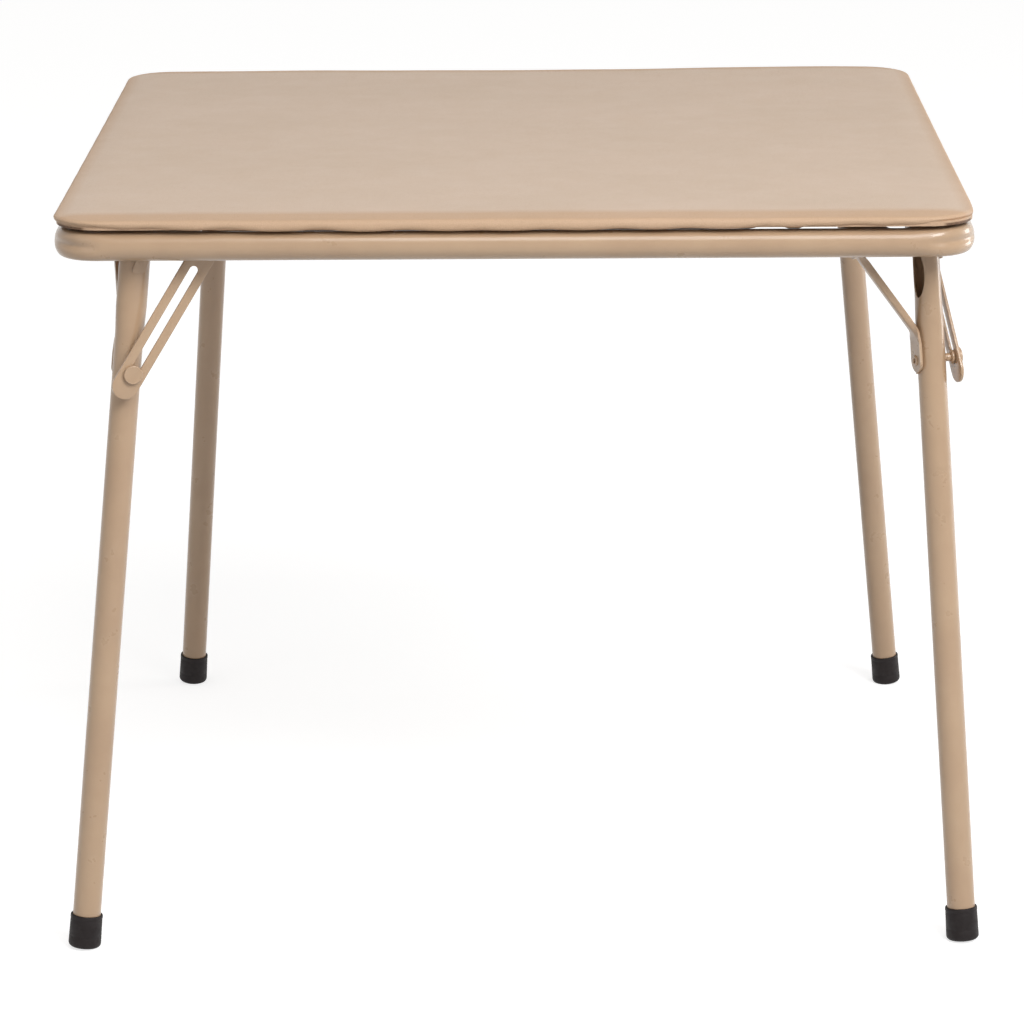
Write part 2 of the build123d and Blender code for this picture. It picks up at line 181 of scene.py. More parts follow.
class MeshShop:
    """Mesh code that every sub-assembly shares."""

    @staticmethod
    def linked(name: str, mesh: bpy.types.Mesh) -> Object:
        """Puts a mesh in the scene as an object at the origin.

        Args:
            name: the piece's name.
            mesh: its mesh.

        Returns:
            The new object.
        """
        made = bpy.data.objects.new(name, mesh)
        bpy.context.scene.collection.objects.link(made)
        return made

    @staticmethod
    def make(name: str, points: Sequence[Point], faces: Sequence[Sequence[int]]) -> Object:
        """Makes an object at the origin.

        Args:
            name: the piece's name.
            points: its corners.
            faces: rows of indices into points.

        Returns:
            The new object.
        """
        mesh = bpy.data.meshes.new(name)
        mesh.from_pydata([tuple(p) for p in points], [], [tuple(f) for f in faces])
        mesh.update()
        return MeshShop.linked(name, mesh)

    @staticmethod
    def bands(count: int, rows: int, closed_run: bool = False) -> list[list[int]]:
        """The faces between rings of points that are numbered in order.

        Args:
            count: the points in a ring.
            rows: how many rings there are.
            closed_run: the last ring joins the first.

        Returns:
            The faces.
        """
        faces = []
        for i in range(rows if closed_run else rows - 1):
            a, b = i * count, (i + 1) % rows * count
            faces += [[a + j, a + (j + 1) % count, b + (j + 1) % count, b + j] for j in range(count)]
        return faces

    @staticmethod
    def loft(name: str, rings: Sequence[Ring], closed_run: bool = False, capped: bool = False) -> Object:
        """Joins rings of equal count into a skin.

        Args:
            name: the piece's name.
            rings: the sections in order.
            closed_run: the last ring joins the first.
            capped: the two end rings are closed with a face.

        Returns:
            The new object, its normals not yet set.
        """
        count, rows = len(rings[0]), len(rings)
        faces = MeshShop.bands(count, rows, closed_run)
        if capped:
            faces += [list(range(count)), list(range((rows - 1) * count, rows * count))]
        return MeshShop.make(name, [p for ring in rings for p in ring], faces)

    @staticmethod
    def revolve(name: str, profile: Sequence[Span], place: Matrix, segments: int) -> Object:
        """Turns a profile round the local Z axis of a place.

        Args:
            name: the piece's name.
            profile: (radius, height) from one pole to the other.
            place: where the piece stands.
            segments: how many steps round.

        Returns:
            The new object, finished.
        """
        turn = steps(2 * math.pi, segments)
        rings = [[place @ Vector((r * math.cos(a), r * math.sin(a), height)) for a in turn] for r, height in profile]
        return MeshShop.finish(MeshShop.loft(name, rings))

    @staticmethod
    def finish(obj: Object, sharp: float = 38.0, merge: float = 2e-6) -> Object:
        """Welds doubles, points the faces outwards and shades all but the sharp edges smooth.

        Args:
            obj: the object to finish.
            sharp: the angle in degrees past which an edge stays sharp.
            merge: the distance under which corners are one.

        Returns:
            The same object.
        """
        work = bmesh.new()
        work.from_mesh(obj.data)
        bmesh.ops.remove_doubles(work, verts=work.verts, dist=merge)
        bmesh.ops.dissolve_degenerate(work, edges=work.edges, dist=merge / 2)
        bmesh.ops.recalc_face_normals(work, faces=work.faces)
        limit = math.radians(sharp)
        for face in work.faces:
            face.smooth = True
        for edge in work.edges:
            edge.smooth = len(edge.link_faces) == 2 and edge.calc_face_angle(math.pi) < limit
        work.to_mesh(obj.data)
        work.free()
        obj.data.update()
        return obj

    @staticmethod
    def baked(obj: Object) -> Object:
        """Turns an object's modifiers into its plain mesh and removes them.

        Args:
            obj: the object with its modifiers.

        Returns:
            The same object.
        """
        bpy.context.view_layer.update()
        graph = bpy.context.evaluated_depsgraph_get()
        mesh = bpy.data.meshes.new_from_object(obj.evaluated_get(graph))
        obj.modifiers.clear()
        obj.data = mesh
        return obj

    @staticmethod
    def bevelled(obj: Object, width: float, rows: int = 2, angle: float = 40.0) -> Object:
        """Rounds an object's sharp edges.

        Args:
            obj: the object.
            width: the rounding's width.
            rows: faces across the rounding.
            angle: the least angle in degrees that is rounded.

        Returns:
            The same object, finished.
        """
        bevel = obj.modifiers.new("rounded", "BEVEL")
        bevel.width = width
        bevel.segments = rows
        bevel.limit_method = "ANGLE"
        bevel.angle_limit = math.radians(angle)
        bevel.use_clamp_overlap = True
        return MeshShop.finish(MeshShop.baked(obj))

    @staticmethod
    def softened(name: str, node: Object, width: float) -> Object:
        """A copy of a CAD node's plates with their edges rounded.

        Args:
            name: the new piece's name.
            node: the CAD node's object.
            width: the rounding's width.

        Returns:
            The new object, finished.
        """
        made = MeshShop.linked(name, node.data.copy())
        made.data.materials.clear()
        work = bmesh.new()
        work.from_mesh(made.data)
        bmesh.ops.remove_doubles(work, verts=work.verts, dist=1e-5)
        bmesh.ops.dissolve_limit(work, angle_limit=math.radians(1.0), verts=work.verts, edges=work.edges)
        bmesh.ops.recalc_face_normals(work, faces=work.faces)
        work.to_mesh(made.data)
        work.free()
        return MeshShop.bevelled(made, width)

    @staticmethod
    def cut(obj: Object, cutter: Object) -> None:
        """Takes one closed shape out of another and removes the cutter.

        Args:
            obj: the shape that is cut.
            cutter: the shape that is taken out.
        """
        boolean = obj.modifiers.new("cut", "BOOLEAN")
        boolean.operation = "DIFFERENCE"
        boolean.solver = "EXACT"
        boolean.object = cutter
        MeshShop.baked(obj)
        bpy.data.objects.remove(cutter)


class Nodes:
    """A node tree of any kind, with short words for its nodes."""

    def __init__(self, tree: bpy.types.NodeTree) -> None:
        """Starts with an empty tree.

        Args:
            tree: the tree to fill.
        """
        self.tree = tree
        self.tree.nodes.clear()

    def fill(self, node: bpy.types.Node, **sockets) -> None:
        """Gives a node's inputs what they take.

        Args:
            node: the node.
            sockets: input names, with _ for a space, or i and the input's number, and for each an output,
                a list of outputs or a plain value.
        """
        for key, value in sockets.items():
            socket = node.inputs[int(key[1:]) if key[0] == "i" and key[1:].isdigit() else key.replace("_", " ")]
            if isinstance(value, (Socket, list)):
                for source in value if isinstance(value, list) else [value]:
                    self.tree.links.new(source, socket)
            else:
                socket.default_value = value

    def add(self, kind: str, settings: Optional[dict[str, str]] = None, **sockets) -> bpy.types.Node:
        """Adds a node.

        Args:
            kind: the node's type.
            settings: its own properties, such as its operation.
            sockets: as in fill.

        Returns:
            The new node.
        """
        node = self.tree.nodes.new(kind)
        for key, value in (settings or {}).items():
            setattr(node, key, value)
        self.fill(node, **sockets)
        return node

    def math(self, operation: str, first, second=0.0) -> Socket:
        """One arithmetic step.

        Args:
            operation: its name.
            first: a number or an output.
            second: a number or an output.

        Returns:
            The result.
        """
        return self.add("ShaderNodeMath", {"operation": operation}, i0=first, i1=second).outputs[0]

    def ranged(self, source: Socket, span: Span, result: Span = (0.0, 1.0)) -> Socket:
        """Maps a number from one range to another, held inside it.

        Args:
            source: the number.
            span: the source's range.
            result: what the range's ends give.

        Returns:
            The mapped number.
        """
        return self.add("ShaderNodeMapRange", Value=source, From_Min=span[0], From_Max=span[1],
                        To_Min=result[0], To_Max=result[1]).outputs["Result"]


class Noise(NamedTuple):
    """Cloudy noise: features in a metre, octaves, the small octaves' strength and the pattern's scales."""

    scale: float
    detail: float = 3.0
    rough: float = 0.55
    stretch: Optional[Triple] = None


NOISE_SPAN: Span = (0.3, 0.7)


class Graph(Nodes):
    """A material's node tree round a Principled shader, read in the object's own metres."""

    def __init__(self, name: str) -> None:
        """Starts a material.

        Args:
            name: its name.
        """
        self.material = bpy.data.materials.new(name)
        self.material.use_nodes = True
        super().__init__(self.material.node_tree)
        self.shader = self.add("ShaderNodeBsdfPrincipled")
        self.add("ShaderNodeOutputMaterial", Surface=self.shader.outputs["BSDF"])
        self.place = self.add("ShaderNodeTexCoord").outputs["Object"]

    def noise(self, kind: Noise) -> Socket:
        """Cloudy noise.

        Args:
            kind: its numbers.

        Returns:
            The noise's factor.
        """
        source = self.place
        if kind.stretch is not None:
            source = self.add("ShaderNodeMapping", Vector=source, Scale=kind.stretch).outputs["Vector"]
        return self.add("ShaderNodeTexNoise", Vector=source, Scale=kind.scale, Detail=kind.detail,
                        Roughness=kind.rough).outputs["Fac"]

    def spread(self, slack: float = 0.0) -> tuple[Socket, Socket]:
        """Where a point lies on the square table.

        Args:
            slack: how much less the left and right sides count than the front and back.

        Returns:
            How far out it is towards the nearest side, and its height above the floor.
        """
        spot = self.add("ShaderNodeSeparateXYZ", Vector=self.place).outputs
        aside, ahead = (self.math("ABSOLUTE", spot[axis]) for axis in "XY")
        return self.math("MAXIMUM", self.math("SUBTRACT", aside, slack), ahead), spot["Z"]

    def cells(self, scale: float) -> Socket:
        """The distance to the edges of small irregular cells, as leather grain has.

        Args:
            scale: cells in a metre.

        Returns:
            The distance, 0 in the creases.
        """
        return self.add("ShaderNodeTexVoronoi", {"feature": "DISTANCE_TO_EDGE"}, Vector=self.place,
                        Scale=scale).outputs["Distance"]

    def blended(self, factor: Socket, first, second) -> Socket:
        """Mixes two colours, each a display colour or an output.

        Args:
            factor: the second colour's share.
            first: the colour at 0.
            second: the colour at 1.

        Returns:
            The mixed colour.
        """
        first, second = (c if isinstance(c, Socket) else linear(c) for c in (first, second))
        return self.add("ShaderNodeMix", {"data_type": "RGBA"}, i0=factor, i6=first, i7=second).outputs[2]

    def summed(self, first: Socket, second: Socket, share: float) -> Socket:
        """Adds a share of one number to another.

        Args:
            first: the number that is kept whole.
            second: the number of which a share is added.
            share: that share.

        Returns:
            The sum.
        """
        return self.add("ShaderNodeMath", {"operation": "MULTIPLY_ADD"}, i0=second, i1=share, i2=first).outputs[0]

    def edges(self, span: Span) -> Socket:
        """Where the surface is sharp and proud, as at a worn edge.

        Args:
            span: the sharpness that gives 0 and that gives 1.

        Returns:
            A share from 0 to 1.
        """
        return self.ranged(self.add("ShaderNodeNewGeometry").outputs["Pointiness"], span)

    def dressed(self, height: Socket, depth: float, **looks) -> Graph:
        """Gives the shader its relief and its looks.

        Args:
            height: the relief's height, 0 to 1.
            depth: how deep a height of 1 is, in metres.
            looks: the shader's inputs, as in fill.

        Returns:
            This graph.
        """
        relief = self.add("ShaderNodeBump", Strength=1.0, Distance=depth, Height=height)
        self.fill(self.shader, Normal=relief.outputs["Normal"], **looks)
        return self

    def dress(self, obj: Object) -> None:
        """Puts this material alone on an object.

        Args:
            obj: the object.
        """
        obj.data.materials.clear()
        obj.data.materials.append(self.material)


@dataclass(frozen=True)
class PaintedSteel:
    """Glossy baked enamel on bent steel: a faint orange peel, cloudy tone and paler worn edges."""

    colour: Colour = (186, 157, 127)
    shade: Colour = (176, 146, 117)
    worn: Colour = (203, 178, 150)
    cloud: Noise = Noise(14.0, 4.0, 0.6)
    speck: Noise = Noise(900.0, 2.0, 0.5)
    speck_span: Span = (0.62, 0.78)
    speck_share: float = 0.12
    wear_span: Span = (0.56, 0.66)
    smear: Noise = Noise(60.0, 3.0, 0.6)
    roughness: Span = (0.26, 0.37)
    coat: float = 0.4
    coat_roughness: float = 0.11
    peel: Noise = Noise(520.0, 2.0, 0.45)
    wave: Noise = Noise(90.0, 2.0, 0.5)
    wave_share: float = 0.8
    peel_depth: float = 0.00005

    def build(self) -> Graph:
        """Builds the enamel.

        Returns:
            Its material.
        """
        graph = Graph("tan_enamel")
        tone = graph.blended(graph.ranged(graph.noise(self.cloud), NOISE_SPAN), self.shade, self.colour)
        speck = graph.ranged(graph.noise(self.speck), self.speck_span, (0.0, self.speck_share))
        tone = graph.blended(speck, tone, self.shade)
        tone = graph.blended(graph.edges(self.wear_span), tone, self.worn)
        peel = graph.summed(graph.noise(self.peel), graph.noise(self.wave), self.wave_share)
        return graph.dressed(
            peel, self.peel_depth, Base_Color=tone, Coat_Weight=self.coat, Coat_Roughness=self.coat_roughness,
            Roughness=graph.ranged(graph.noise(self.smear), NOISE_SPAN, self.roughness))


@dataclass(frozen=True)
class PaddedVinyl:
    """Embossed vinyl over thin foam: fine leather grain, a flat top painted paler and greyer as painted sheen, the
    rolled sides in the vinyl's own tone, and painted shade on the underside under the lip.
    """

    colour: Colour = (199, 168, 140)
    shade: Colour = (194, 163, 134)
    # Painted sheen: the flat top's paler, greyer tone stands in for the white backdrop reflected at a low angle.
    faded: Colour = (209, 188, 169)
    faded_shade: Colour = (205, 184, 164)
    # Painted shade: dark brown for the crevice under the lip, where shade falls.
    backing: Colour = (92, 66, 48)
    crease: Colour = (176, 145, 117)
    cloud: Noise = Noise(9.0, 5.0, 0.6, (1.0, 1.6, 1.0))
    cloud_span: Span = (0.32, 0.68)
    side_slack: float = 0.014
    faded_span: Span = (0.278, 0.288)
    under_span: Span = (0.2990, 0.3000)
    backing_span: Span = (0.4966, 0.4974)
    grain: float = 820.0
    crease_span: Span = (0.0, 0.12)
    crease_share: float = 0.45
    pebble_span: Span = (0.0, 0.3)
    wrinkle: Noise = Noise(260.0, 4.0, 0.6)
    wrinkle_share: float = 0.9
    grain_depth: float = 0.00007
    smear: Noise = Noise(40.0, 4.0, 0.6)
    roughness: Span = (0.48, 0.60)
    shine: float = 0.32

    def build(self) -> Graph:
        """Builds the vinyl.

        Returns:
            Its material.
        """
        graph = Graph("grained_vinyl")
        cloud = graph.ranged(graph.noise(self.cloud), self.cloud_span)
        side = graph.blended(cloud, self.shade, self.colour)
        # Painted sheen: the flat top takes the paler, greyer tone in place of the backdrop's reflection; the sides
        # keep the vinyl's own tone.
        face = graph.blended(cloud, self.faded_shade, self.faded)
        out, height = graph.spread()
        slack_out, _ = graph.spread(self.side_slack)
        tone = graph.blended(graph.ranged(slack_out, self.faded_span, (1.0, 0.0)), side, face)
        # Painted shade: the underside, set in from the lip's edge and low down, is darkened to dark brown as the
        # crevice's shade.
        under = graph.blended(graph.ranged(height, self.backing_span, (1.0, 0.0)), tone, self.backing)
        tone = graph.blended(graph.ranged(out, self.under_span, (1.0, 0.0)), tone, under)
        cells = graph.cells(self.grain)
        tone = graph.blended(graph.ranged(cells, self.crease_span, (self.crease_share, 0.0)), tone, self.crease)
        relief = graph.summed(graph.ranged(cells, self.pebble_span), graph.noise(self.wrinkle), self.wrinkle_share)
        return graph.dressed(
            relief, self.grain_depth, Base_Color=tone, Specular_IOR_Level=self.shine,
            Roughness=graph.ranged(graph.noise(self.smear), NOISE_SPAN, self.roughness))


@dataclass(frozen=True)
class MouldedRubber:
    """Nearly black rubber with a fine mould texture and a dusty rim."""

    colour: Colour = (22, 14, 14)
    dusty: Colour = (38, 31, 30)
    cloud: Noise = Noise(120.0, 4.0, 0.6)
    cloud_span: Span = (0.45, 0.8)
    dust_share: float = 0.6
    wear_span: Span = (0.54, 0.62)
    roughness: Span = (0.5, 0.68)
    shine: float = 0.3
    pores: Noise = Noise(1500.0, 3.0, 0.6)
    pore_depth: float = 0.00004

    def build(self) -> Graph:
        """Builds the rubber.

        Returns:
            Its material.
        """
        graph = Graph("black_rubber")
        cloud = graph.ranged(graph.noise(self.cloud), self.cloud_span, (0.0, self.dust_share))
        tone = graph.blended(cloud, self.colour, self.dusty)
        tone = graph.blended(graph.edges(self.wear_span), tone, self.dusty)
        return graph.dressed(
            graph.noise(self.pores), self.pore_depth, Base_Color=tone, Specular_IOR_Level=self.shine,
            Roughness=graph.ranged(graph.noise(Noise(300.0)), NOISE_SPAN, self.roughness))


@dataclass(frozen=True)
class PressedBoard:
    """Brown hardboard with matted fibres."""

    colour: Colour = (136, 101, 70)
    fibre: Colour = (104, 74, 50)
    long: Noise = Noise(90.0, 6.0, 0.7, (1.0, 7.0, 1.0))
    cross: Noise = Noise(90.0, 6.0, 0.7, (7.0, 1.0, 1.0))
    cross_share: float = 0.8
    fibre_span: Span = (0.7, 1.1)
    roughness: float = 0.78
    depth: float = 0.00012

    def build(self) -> Graph:
        """Builds the hardboard.

        Returns:
            Its material.
        """
        graph = Graph("brown_hardboard")
        matted = graph.summed(graph.noise(self.long), graph.noise(self.cross), self.cross_share)
        tone = graph.blended(graph.ranged(matted, self.fibre_span), self.fibre, self.colour)
        return graph.dressed(matted, self.depth, Base_Color=tone, Roughness=self.roughness)


@dataclass(frozen=True)
class ZincSteel:
    """Bright zinc plate, a little streaked and dull."""

    colour: Colour = (196, 197, 193)
    dull: Colour = (150, 149, 142)
    streak: Noise = Noise(700.0, 4.0, 0.6, (1.0, 1.0, 5.0))
    dull_span: Span = (0.4, 0.75)
    roughness: Span = (0.26, 0.42)
    depth: float = 0.00002

    def build(self) -> Graph:
        """Builds the zinc.

        Returns:
            Its material.
        """
        graph = Graph("zinc_plate")
        streak = graph.noise(self.streak)
        tone = graph.blended(graph.ranged(streak, self.dull_span), self.colour, self.dull)
        return graph.dressed(streak, self.depth, Base_Color=tone, Metallic=1.0,
                             Roughness=graph.ranged(streak, NOISE_SPAN, self.roughness))


def hand_over(made: Object, finish: Optional[Graph], slot: Slot, body: str, *nodes: str) -> None:
    """Dresses a finished piece, hangs it on its body and hides the CAD nodes that it replaces.

    Args:
        made: the piece.
        finish: its material, unless it has one already.
        slot: its material slot; not used.
        body: the body that it rides on.
        nodes: the CAD nodes that it replaces.
    """
    if finish is not None:
        finish.dress(made)
    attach(made, body)
    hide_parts(*nodes)
    log.info("%s: %d faces", made.name, len(made.data.polygons))


@dataclass(frozen=True)
class HingePlaces:
    """Where a leg, strut, brace and pin stand, drawn at the front right."""

    point: Triple = (0.2725, -0.2498, 0.4762)
    plan_turn: float = math.radians(18.0)
    axis_tilt: float = math.radians(1.75)
    splay: float = math.radians(6.3)
    cap_round: float = 0.0081
    cap_edge: float = 0.003
    cap_flat: float = 0.0004
    pin_drop: float = 0.080
    pivot_along: float = 0.0475
    pivot_up: float = 0.0062
    brace_face: float = 0.0155

    @property
    def hinge(self) -> Matrix:
        """The hinge frame: X along the axis and outwards, Y the way the leg folds."""
        turn, tilt = self.plan_turn, self.axis_tilt
        along = Vector((math.cos(turn) * math.cos(tilt), math.sin(turn) * math.cos(tilt), math.sin(tilt)))
        up = Vector((-math.sin(tilt) * math.cos(turn), -math.sin(tilt) * math.sin(turn), math.cos(tilt)))
        return self.framed(along, up, Vector(self.point))

    @property
    def leg(self) -> Matrix:
        """The leg's own frame, with Z up the leg."""
        return self.hinge @ Matrix.Rotation(-self.splay, 4, "X")

    @property
    def cap_bottom(self) -> float:
        """How far down the leg the cap's foot is, so that its low edge is pressed flat on the floor."""
        lean = math.cos(self.axis_tilt) * math.cos(self.splay)
        dip = self.cap_round * math.sqrt(1 - lean ** 2) + self.cap_edge * (1 - lean)
        return (self.point[2] - dip + self.cap_flat) / lean

    @property
    def pin_run(self) -> Vector:
        """From the brace's pivot to the pin in the hinge frame."""
        along = -self.pin_drop * math.sin(self.splay)
        up = -self.pin_drop * math.cos(self.splay)
        return Vector((0.0, along - self.pivot_along, up - self.pivot_up))

    @property
    def brace(self) -> Matrix:
        """The brace's frame at its pivot, with X down the brace and Z out of its outer face."""
        start = Vector((self.brace_face, self.pivot_along, self.pivot_up))
        return self.hinge @ self.framed(self.pin_run.normalized(), X_WAY, start)

    @staticmethod
    def framed(x_way: Vector, z_way: Vector, start: Vector) -> Matrix:
        """A frame from its X and Z ways and its origin.

        Args:
            x_way: its X axis.
            z_way: its Z axis.
            start: its origin.

        Returns:
            The frame.
        """
        ways = Matrix((x_way, z_way.cross(x_way), z_way)).transposed()
        return Matrix.Translation(start) @ ways.to_4x4()


USUAL_HINGE = HingePlaces()
INNER_HINGE = HingePlaces(
    point=(0.2305, -0.2611, 0.4762), plan_turn=math.radians(2.0), axis_tilt=math.radians(4.3))


def hinge_of(corner: Corner) -> HingePlaces:
    """The hinge of a corner; the back left leg stands further in than the others.

    Args:
        corner: the corner.

    Returns:
        Its places, drawn at the front right.
    """
    return INNER_HINGE if corner is Corner.BACK_LEFT else USUAL_HINGE


class Lamp(NamedTuple):
    """A square soft lamp: where it hangs, what it faces, its side, its watts and its share in glossy faces."""

    name: str
    place: Triple
    aim: Triple
    size: float
    power: float
    shine: float = 1.0


@dataclass
class Studio:
    """The camera at the photograph's angle, a pale floor and soft light."""

    focal_pixels: float = 4446.8
    frame_pixels: float = 1024.0
    sensor: float = 36.0
    clip: Span = (0.1, 100.0)
    eye: Triple = (0.0212, -3.1493, 1.0618)
    yaw: float = math.radians(-0.474)
    pitch: float = math.radians(14.897)
    roll: float = math.radians(-0.391)
    floor_reach: float = 30.0
    floor_tone: tuple[float, ...] = (0.50, 0.50, 0.50, 1.0)
    floor_glow: float = 0.72
    air_tone: tuple[float, ...] = (1.0, 0.985, 0.965, 1.0)
    air_strength: float = 0.47
    mirror_span: Span = (0.27, 0.52)
    mirror_strength: Span = (1.0, 0.45)
    lamps: tuple[Lamp, ...] = (
        Lamp("key_lamp", (1.75, -2.4, 2.45), (0.0, 0.0, 0.35), 1.3, 68.0),
        Lamp("fill_lamp", (-2.2, -2.0, 1.6), (0.0, 0.0, 0.35), 1.6, 4.0),
        Lamp("side_lamp", (2.2, 0.8, 0.55), (-0.2, 0.1, 0.25), 0.8, 12.0, 0.2),
        Lamp("top_lamp", (0.3, -1.7, 2.7), (0.0, -0.2, 0.45), 1.2, 22.0),
    )

    def camera(self) -> None:
        """Makes the camera with no shift, at the place fitted to the table's outline."""
        data = bpy.data.cameras.new("studio_camera")
        data.sensor_width = self.sensor
        data.lens = self.focal_pixels / self.frame_pixels * self.sensor
        data.clip_start, data.clip_end = self.clip
        made = bpy.data.objects.new("studio_camera", data)
        ahead = Vector((math.sin(self.yaw) * math.cos(self.pitch), math.cos(self.yaw) * math.cos(self.pitch),
                        -math.sin(self.pitch)))
        level = Vector((math.cos(self.yaw), -math.sin(self.yaw), 0.0))
        above = level.cross(ahead)
        right = math.cos(self.roll) * level + math.sin(self.roll) * above
        made.matrix_world = HingePlaces.framed(right, -ahead, Vector(self.eye))
        bpy.context.scene.collection.objects.link(made)
        bpy.context.scene.camera = made

    def floor(self) -> None:
        """Lays a pale floor that shows white and keeps the table's soft shadow."""
        r = self.floor_reach
        made = MeshShop.make("studio_floor", [(-r, -r, 0), (r, -r, 0), (r, r, 0), (-r, r, 0)], [(0, 1, 2, 3)])
        material = bpy.data.materials.new("pale_floor")
        material.use_nodes = True
        nodes = Nodes(material.node_tree)
        rays = nodes.add("ShaderNodeLightPath").outputs
        seen = nodes.math("MAXIMUM", rays["Is Camera Ray"], rays["Is Glossy Ray"])
        seen = nodes.math("MAXIMUM", seen, rays["Is Transmission Ray"])
        glow = nodes.add("ShaderNodeEmission", Color=WHITE, Strength=nodes.math("MULTIPLY", seen, self.floor_glow))
        pale = nodes.add("ShaderNodeBsdfDiffuse", Color=self.floor_tone)
        both = nodes.add("ShaderNodeAddShader", i0=pale.outputs[0], i1=glow.outputs[0])
        nodes.add("ShaderNodeOutputMaterial", Surface=both.outputs[0])
        made.data.materials.append(material)

    def sky(self) -> None:
        """Lights the room softly from all round, and shows white behind and in reflections."""
        world = bpy.data.worlds.new("studio_air")
        bpy.context.scene.world = world
        world.use_nodes = True
        nodes = Nodes(world.node_tree)
        rays = nodes.add("ShaderNodeLightPath").outputs
        way = nodes.add("ShaderNodeTexCoord").outputs["Generated"]
        height = nodes.add("ShaderNodeSeparateXYZ", Vector=way).outputs["Z"]
        fade = nodes.ranged(height, self.mirror_span, self.mirror_strength)
        air, mirror, white = (
            nodes.add("ShaderNodeBackground", Color=tone, Strength=strength).outputs[0]
            for tone, strength in ((self.air_tone, self.air_strength), (WHITE, fade), (WHITE, 1.0)))
        lit = nodes.add("ShaderNodeMixShader", i0=rays["Is Glossy Ray"], i1=air, i2=mirror)
        seen = nodes.add("ShaderNodeMixShader", i0=rays["Is Camera Ray"], i1=lit.outputs[0], i2=white)
        nodes.add("ShaderNodeOutputWorld", Surface=seen.outputs[0])

    def hang(self, lamp: Lamp) -> None:
        """Hangs a lamp.

        Args:
            lamp: which one.
        """
        data = bpy.data.lights.new(lamp.name, "AREA")
        data.shape = "SQUARE"
        data.size = lamp.size
        data.energy = lamp.power
        data.specular_factor = lamp.shine
        made = bpy.data.objects.new(lamp.name, data)
        made.location = lamp.place
        made.rotation_euler = (Vector(lamp.aim) - Vector(lamp.place)).to_track_quat("-Z", "Y").to_euler()
        bpy.context.scene.collection.objects.link(made)

    def build(self) -> None:
        """Builds the whole studio."""
        bpy.context.scene.view_settings.view_transform = "Standard"
        self.camera()
        self.floor()
        self.sky()
        for lamp in self.lamps:
            self.hang(lamp)


LIGHT_GAPS: tuple[tuple[Span, ...], ...] = (
    ((0.158, 0.176), (0.189, 0.215), (0.244, 0.258)),
    ((-0.088, -0.071), (0.034, 0.052)),
    ((-0.131, -0.108), (0.064, 0.083)),
    ((-0.043, -0.024), (0.118, 0.139)),
)
GAP_FADE = 0.002


def sealed(side: int, along: float) -> float:
    """Whether the hem lies close to the tube at a place, or light shows between them.

    Args:
        side: 0 for the front and counter-clockwise from there.
        along: the place along the side, seen from outside.

    Returns:
        1 where they are close and 0 in the middle of a light gap.
    """
    closed = 1.0
    for low, high in LIGHT_GAPS[side]:
        begun = smooth_step(along, low - GAP_FADE, low + GAP_FADE)
        closed *= 1 - begun * (1 - smooth_step(along, high - GAP_FADE, high + GAP_FADE))
    return closed


@dataclass
class FrameTube:
    """The ring of round tube, pressed flat on the outside of its four tight bends."""

    line: float = 0.2944
    bend: float = 0.0245
    height: float = 0.4833
    straight_steps: int = 180
    bend_steps: int = 30
    round_steps: int = 64
    dent: float = 0.0031
    dent_ease: float = 0.7
    dent_up: float = 0.12
    dent_spread: float = 0.42
    ridge: float = 0.0010
    ridge_angles: Span = (math.radians(62), 2 * math.pi - math.radians(52))
    ridge_spread: float = 0.3
    crease: float = 0.0006
    crease_spread: float = 0.5
    weld: float = 0.0017
    weld_angle: float = math.radians(113)
    weld_spread: float = 0.16
    weld_start: float = 0.203
    weld_fade: float = 0.004
    press_start: float = 0.25
    press_fade: float = 0.006
    press_ease: float = 0.8

    def ring(self, turn: Matrix, middle: Vector, out: Vector, share: float, welded: float) -> Ring:
        """One section set across the tube.

        Args:
            turn: the side's turn from the front one.
            middle: the section's middle, at the front.
            out: the way out of the ring there.
            share: 0 on the straights and rising to 1 in the middle of a bend.
            welded: 1 where the bead runs that holds the corner's gusset.

        Returns:
            The section's points.
        """
        points = []
        for a in steps(2 * math.pi, self.round_steps):
            side, up = math.cos(a), math.sin(a)
            reach = TUBE_RADIUS + self.weld * welded * bump(a, self.weld_angle, self.weld_spread)
            reach -= self.dent * share * max(0.0, side) ** self.dent_ease * bump(up, self.dent_up, self.dent_spread)
            reach += self.ridge * share * sum(bump(a, angle, self.ridge_spread) for angle in self.ridge_angles)
            reach -= self.crease * share * max(0.0, -side) * bump(up, 0.0, self.crease_spread)
            points.append(turn @ (middle + out * (reach * side) + UP * (reach * up)))
        return points

    def build(self, paint: Graph) -> None:
        """Builds the ring.

        Args:
            paint: its enamel.
        """
        rings: list[Ring] = []
        half = self.line - self.bend
        for side, corner in enumerate(Corner):
            for run in steps(2 * half, self.straight_steps):
                along = run - half
                share = self.press_start * bump(min(along + half, half - along), 0.0, self.press_fade)
                welded = smooth_step(abs(along), self.weld_start, self.weld_start + self.weld_fade)
                middle = Vector((along, -self.line, self.height))
                rings.append(self.ring(corner.turn, middle, -Y_WAY, share, welded * sealed(side, along)))
            for a in steps(QUARTER, self.bend_steps):
                out = Vector((math.sin(a), -math.cos(a), 0.0))
                middle = Vector((half, -half, self.height)) + self.bend * out
                share = self.press_start + (1 - self.press_start) * math.sin(2 * a) ** self.press_ease
                rings.append(self.ring(corner.turn, middle, out, share, 1.0))
        made = MeshShop.finish(MeshShop.loft("frame_tube", rings, closed_run=True))
        hand_over(made, paint, Slot.PAINT, TOP_BODY, "frame_tube_ring")


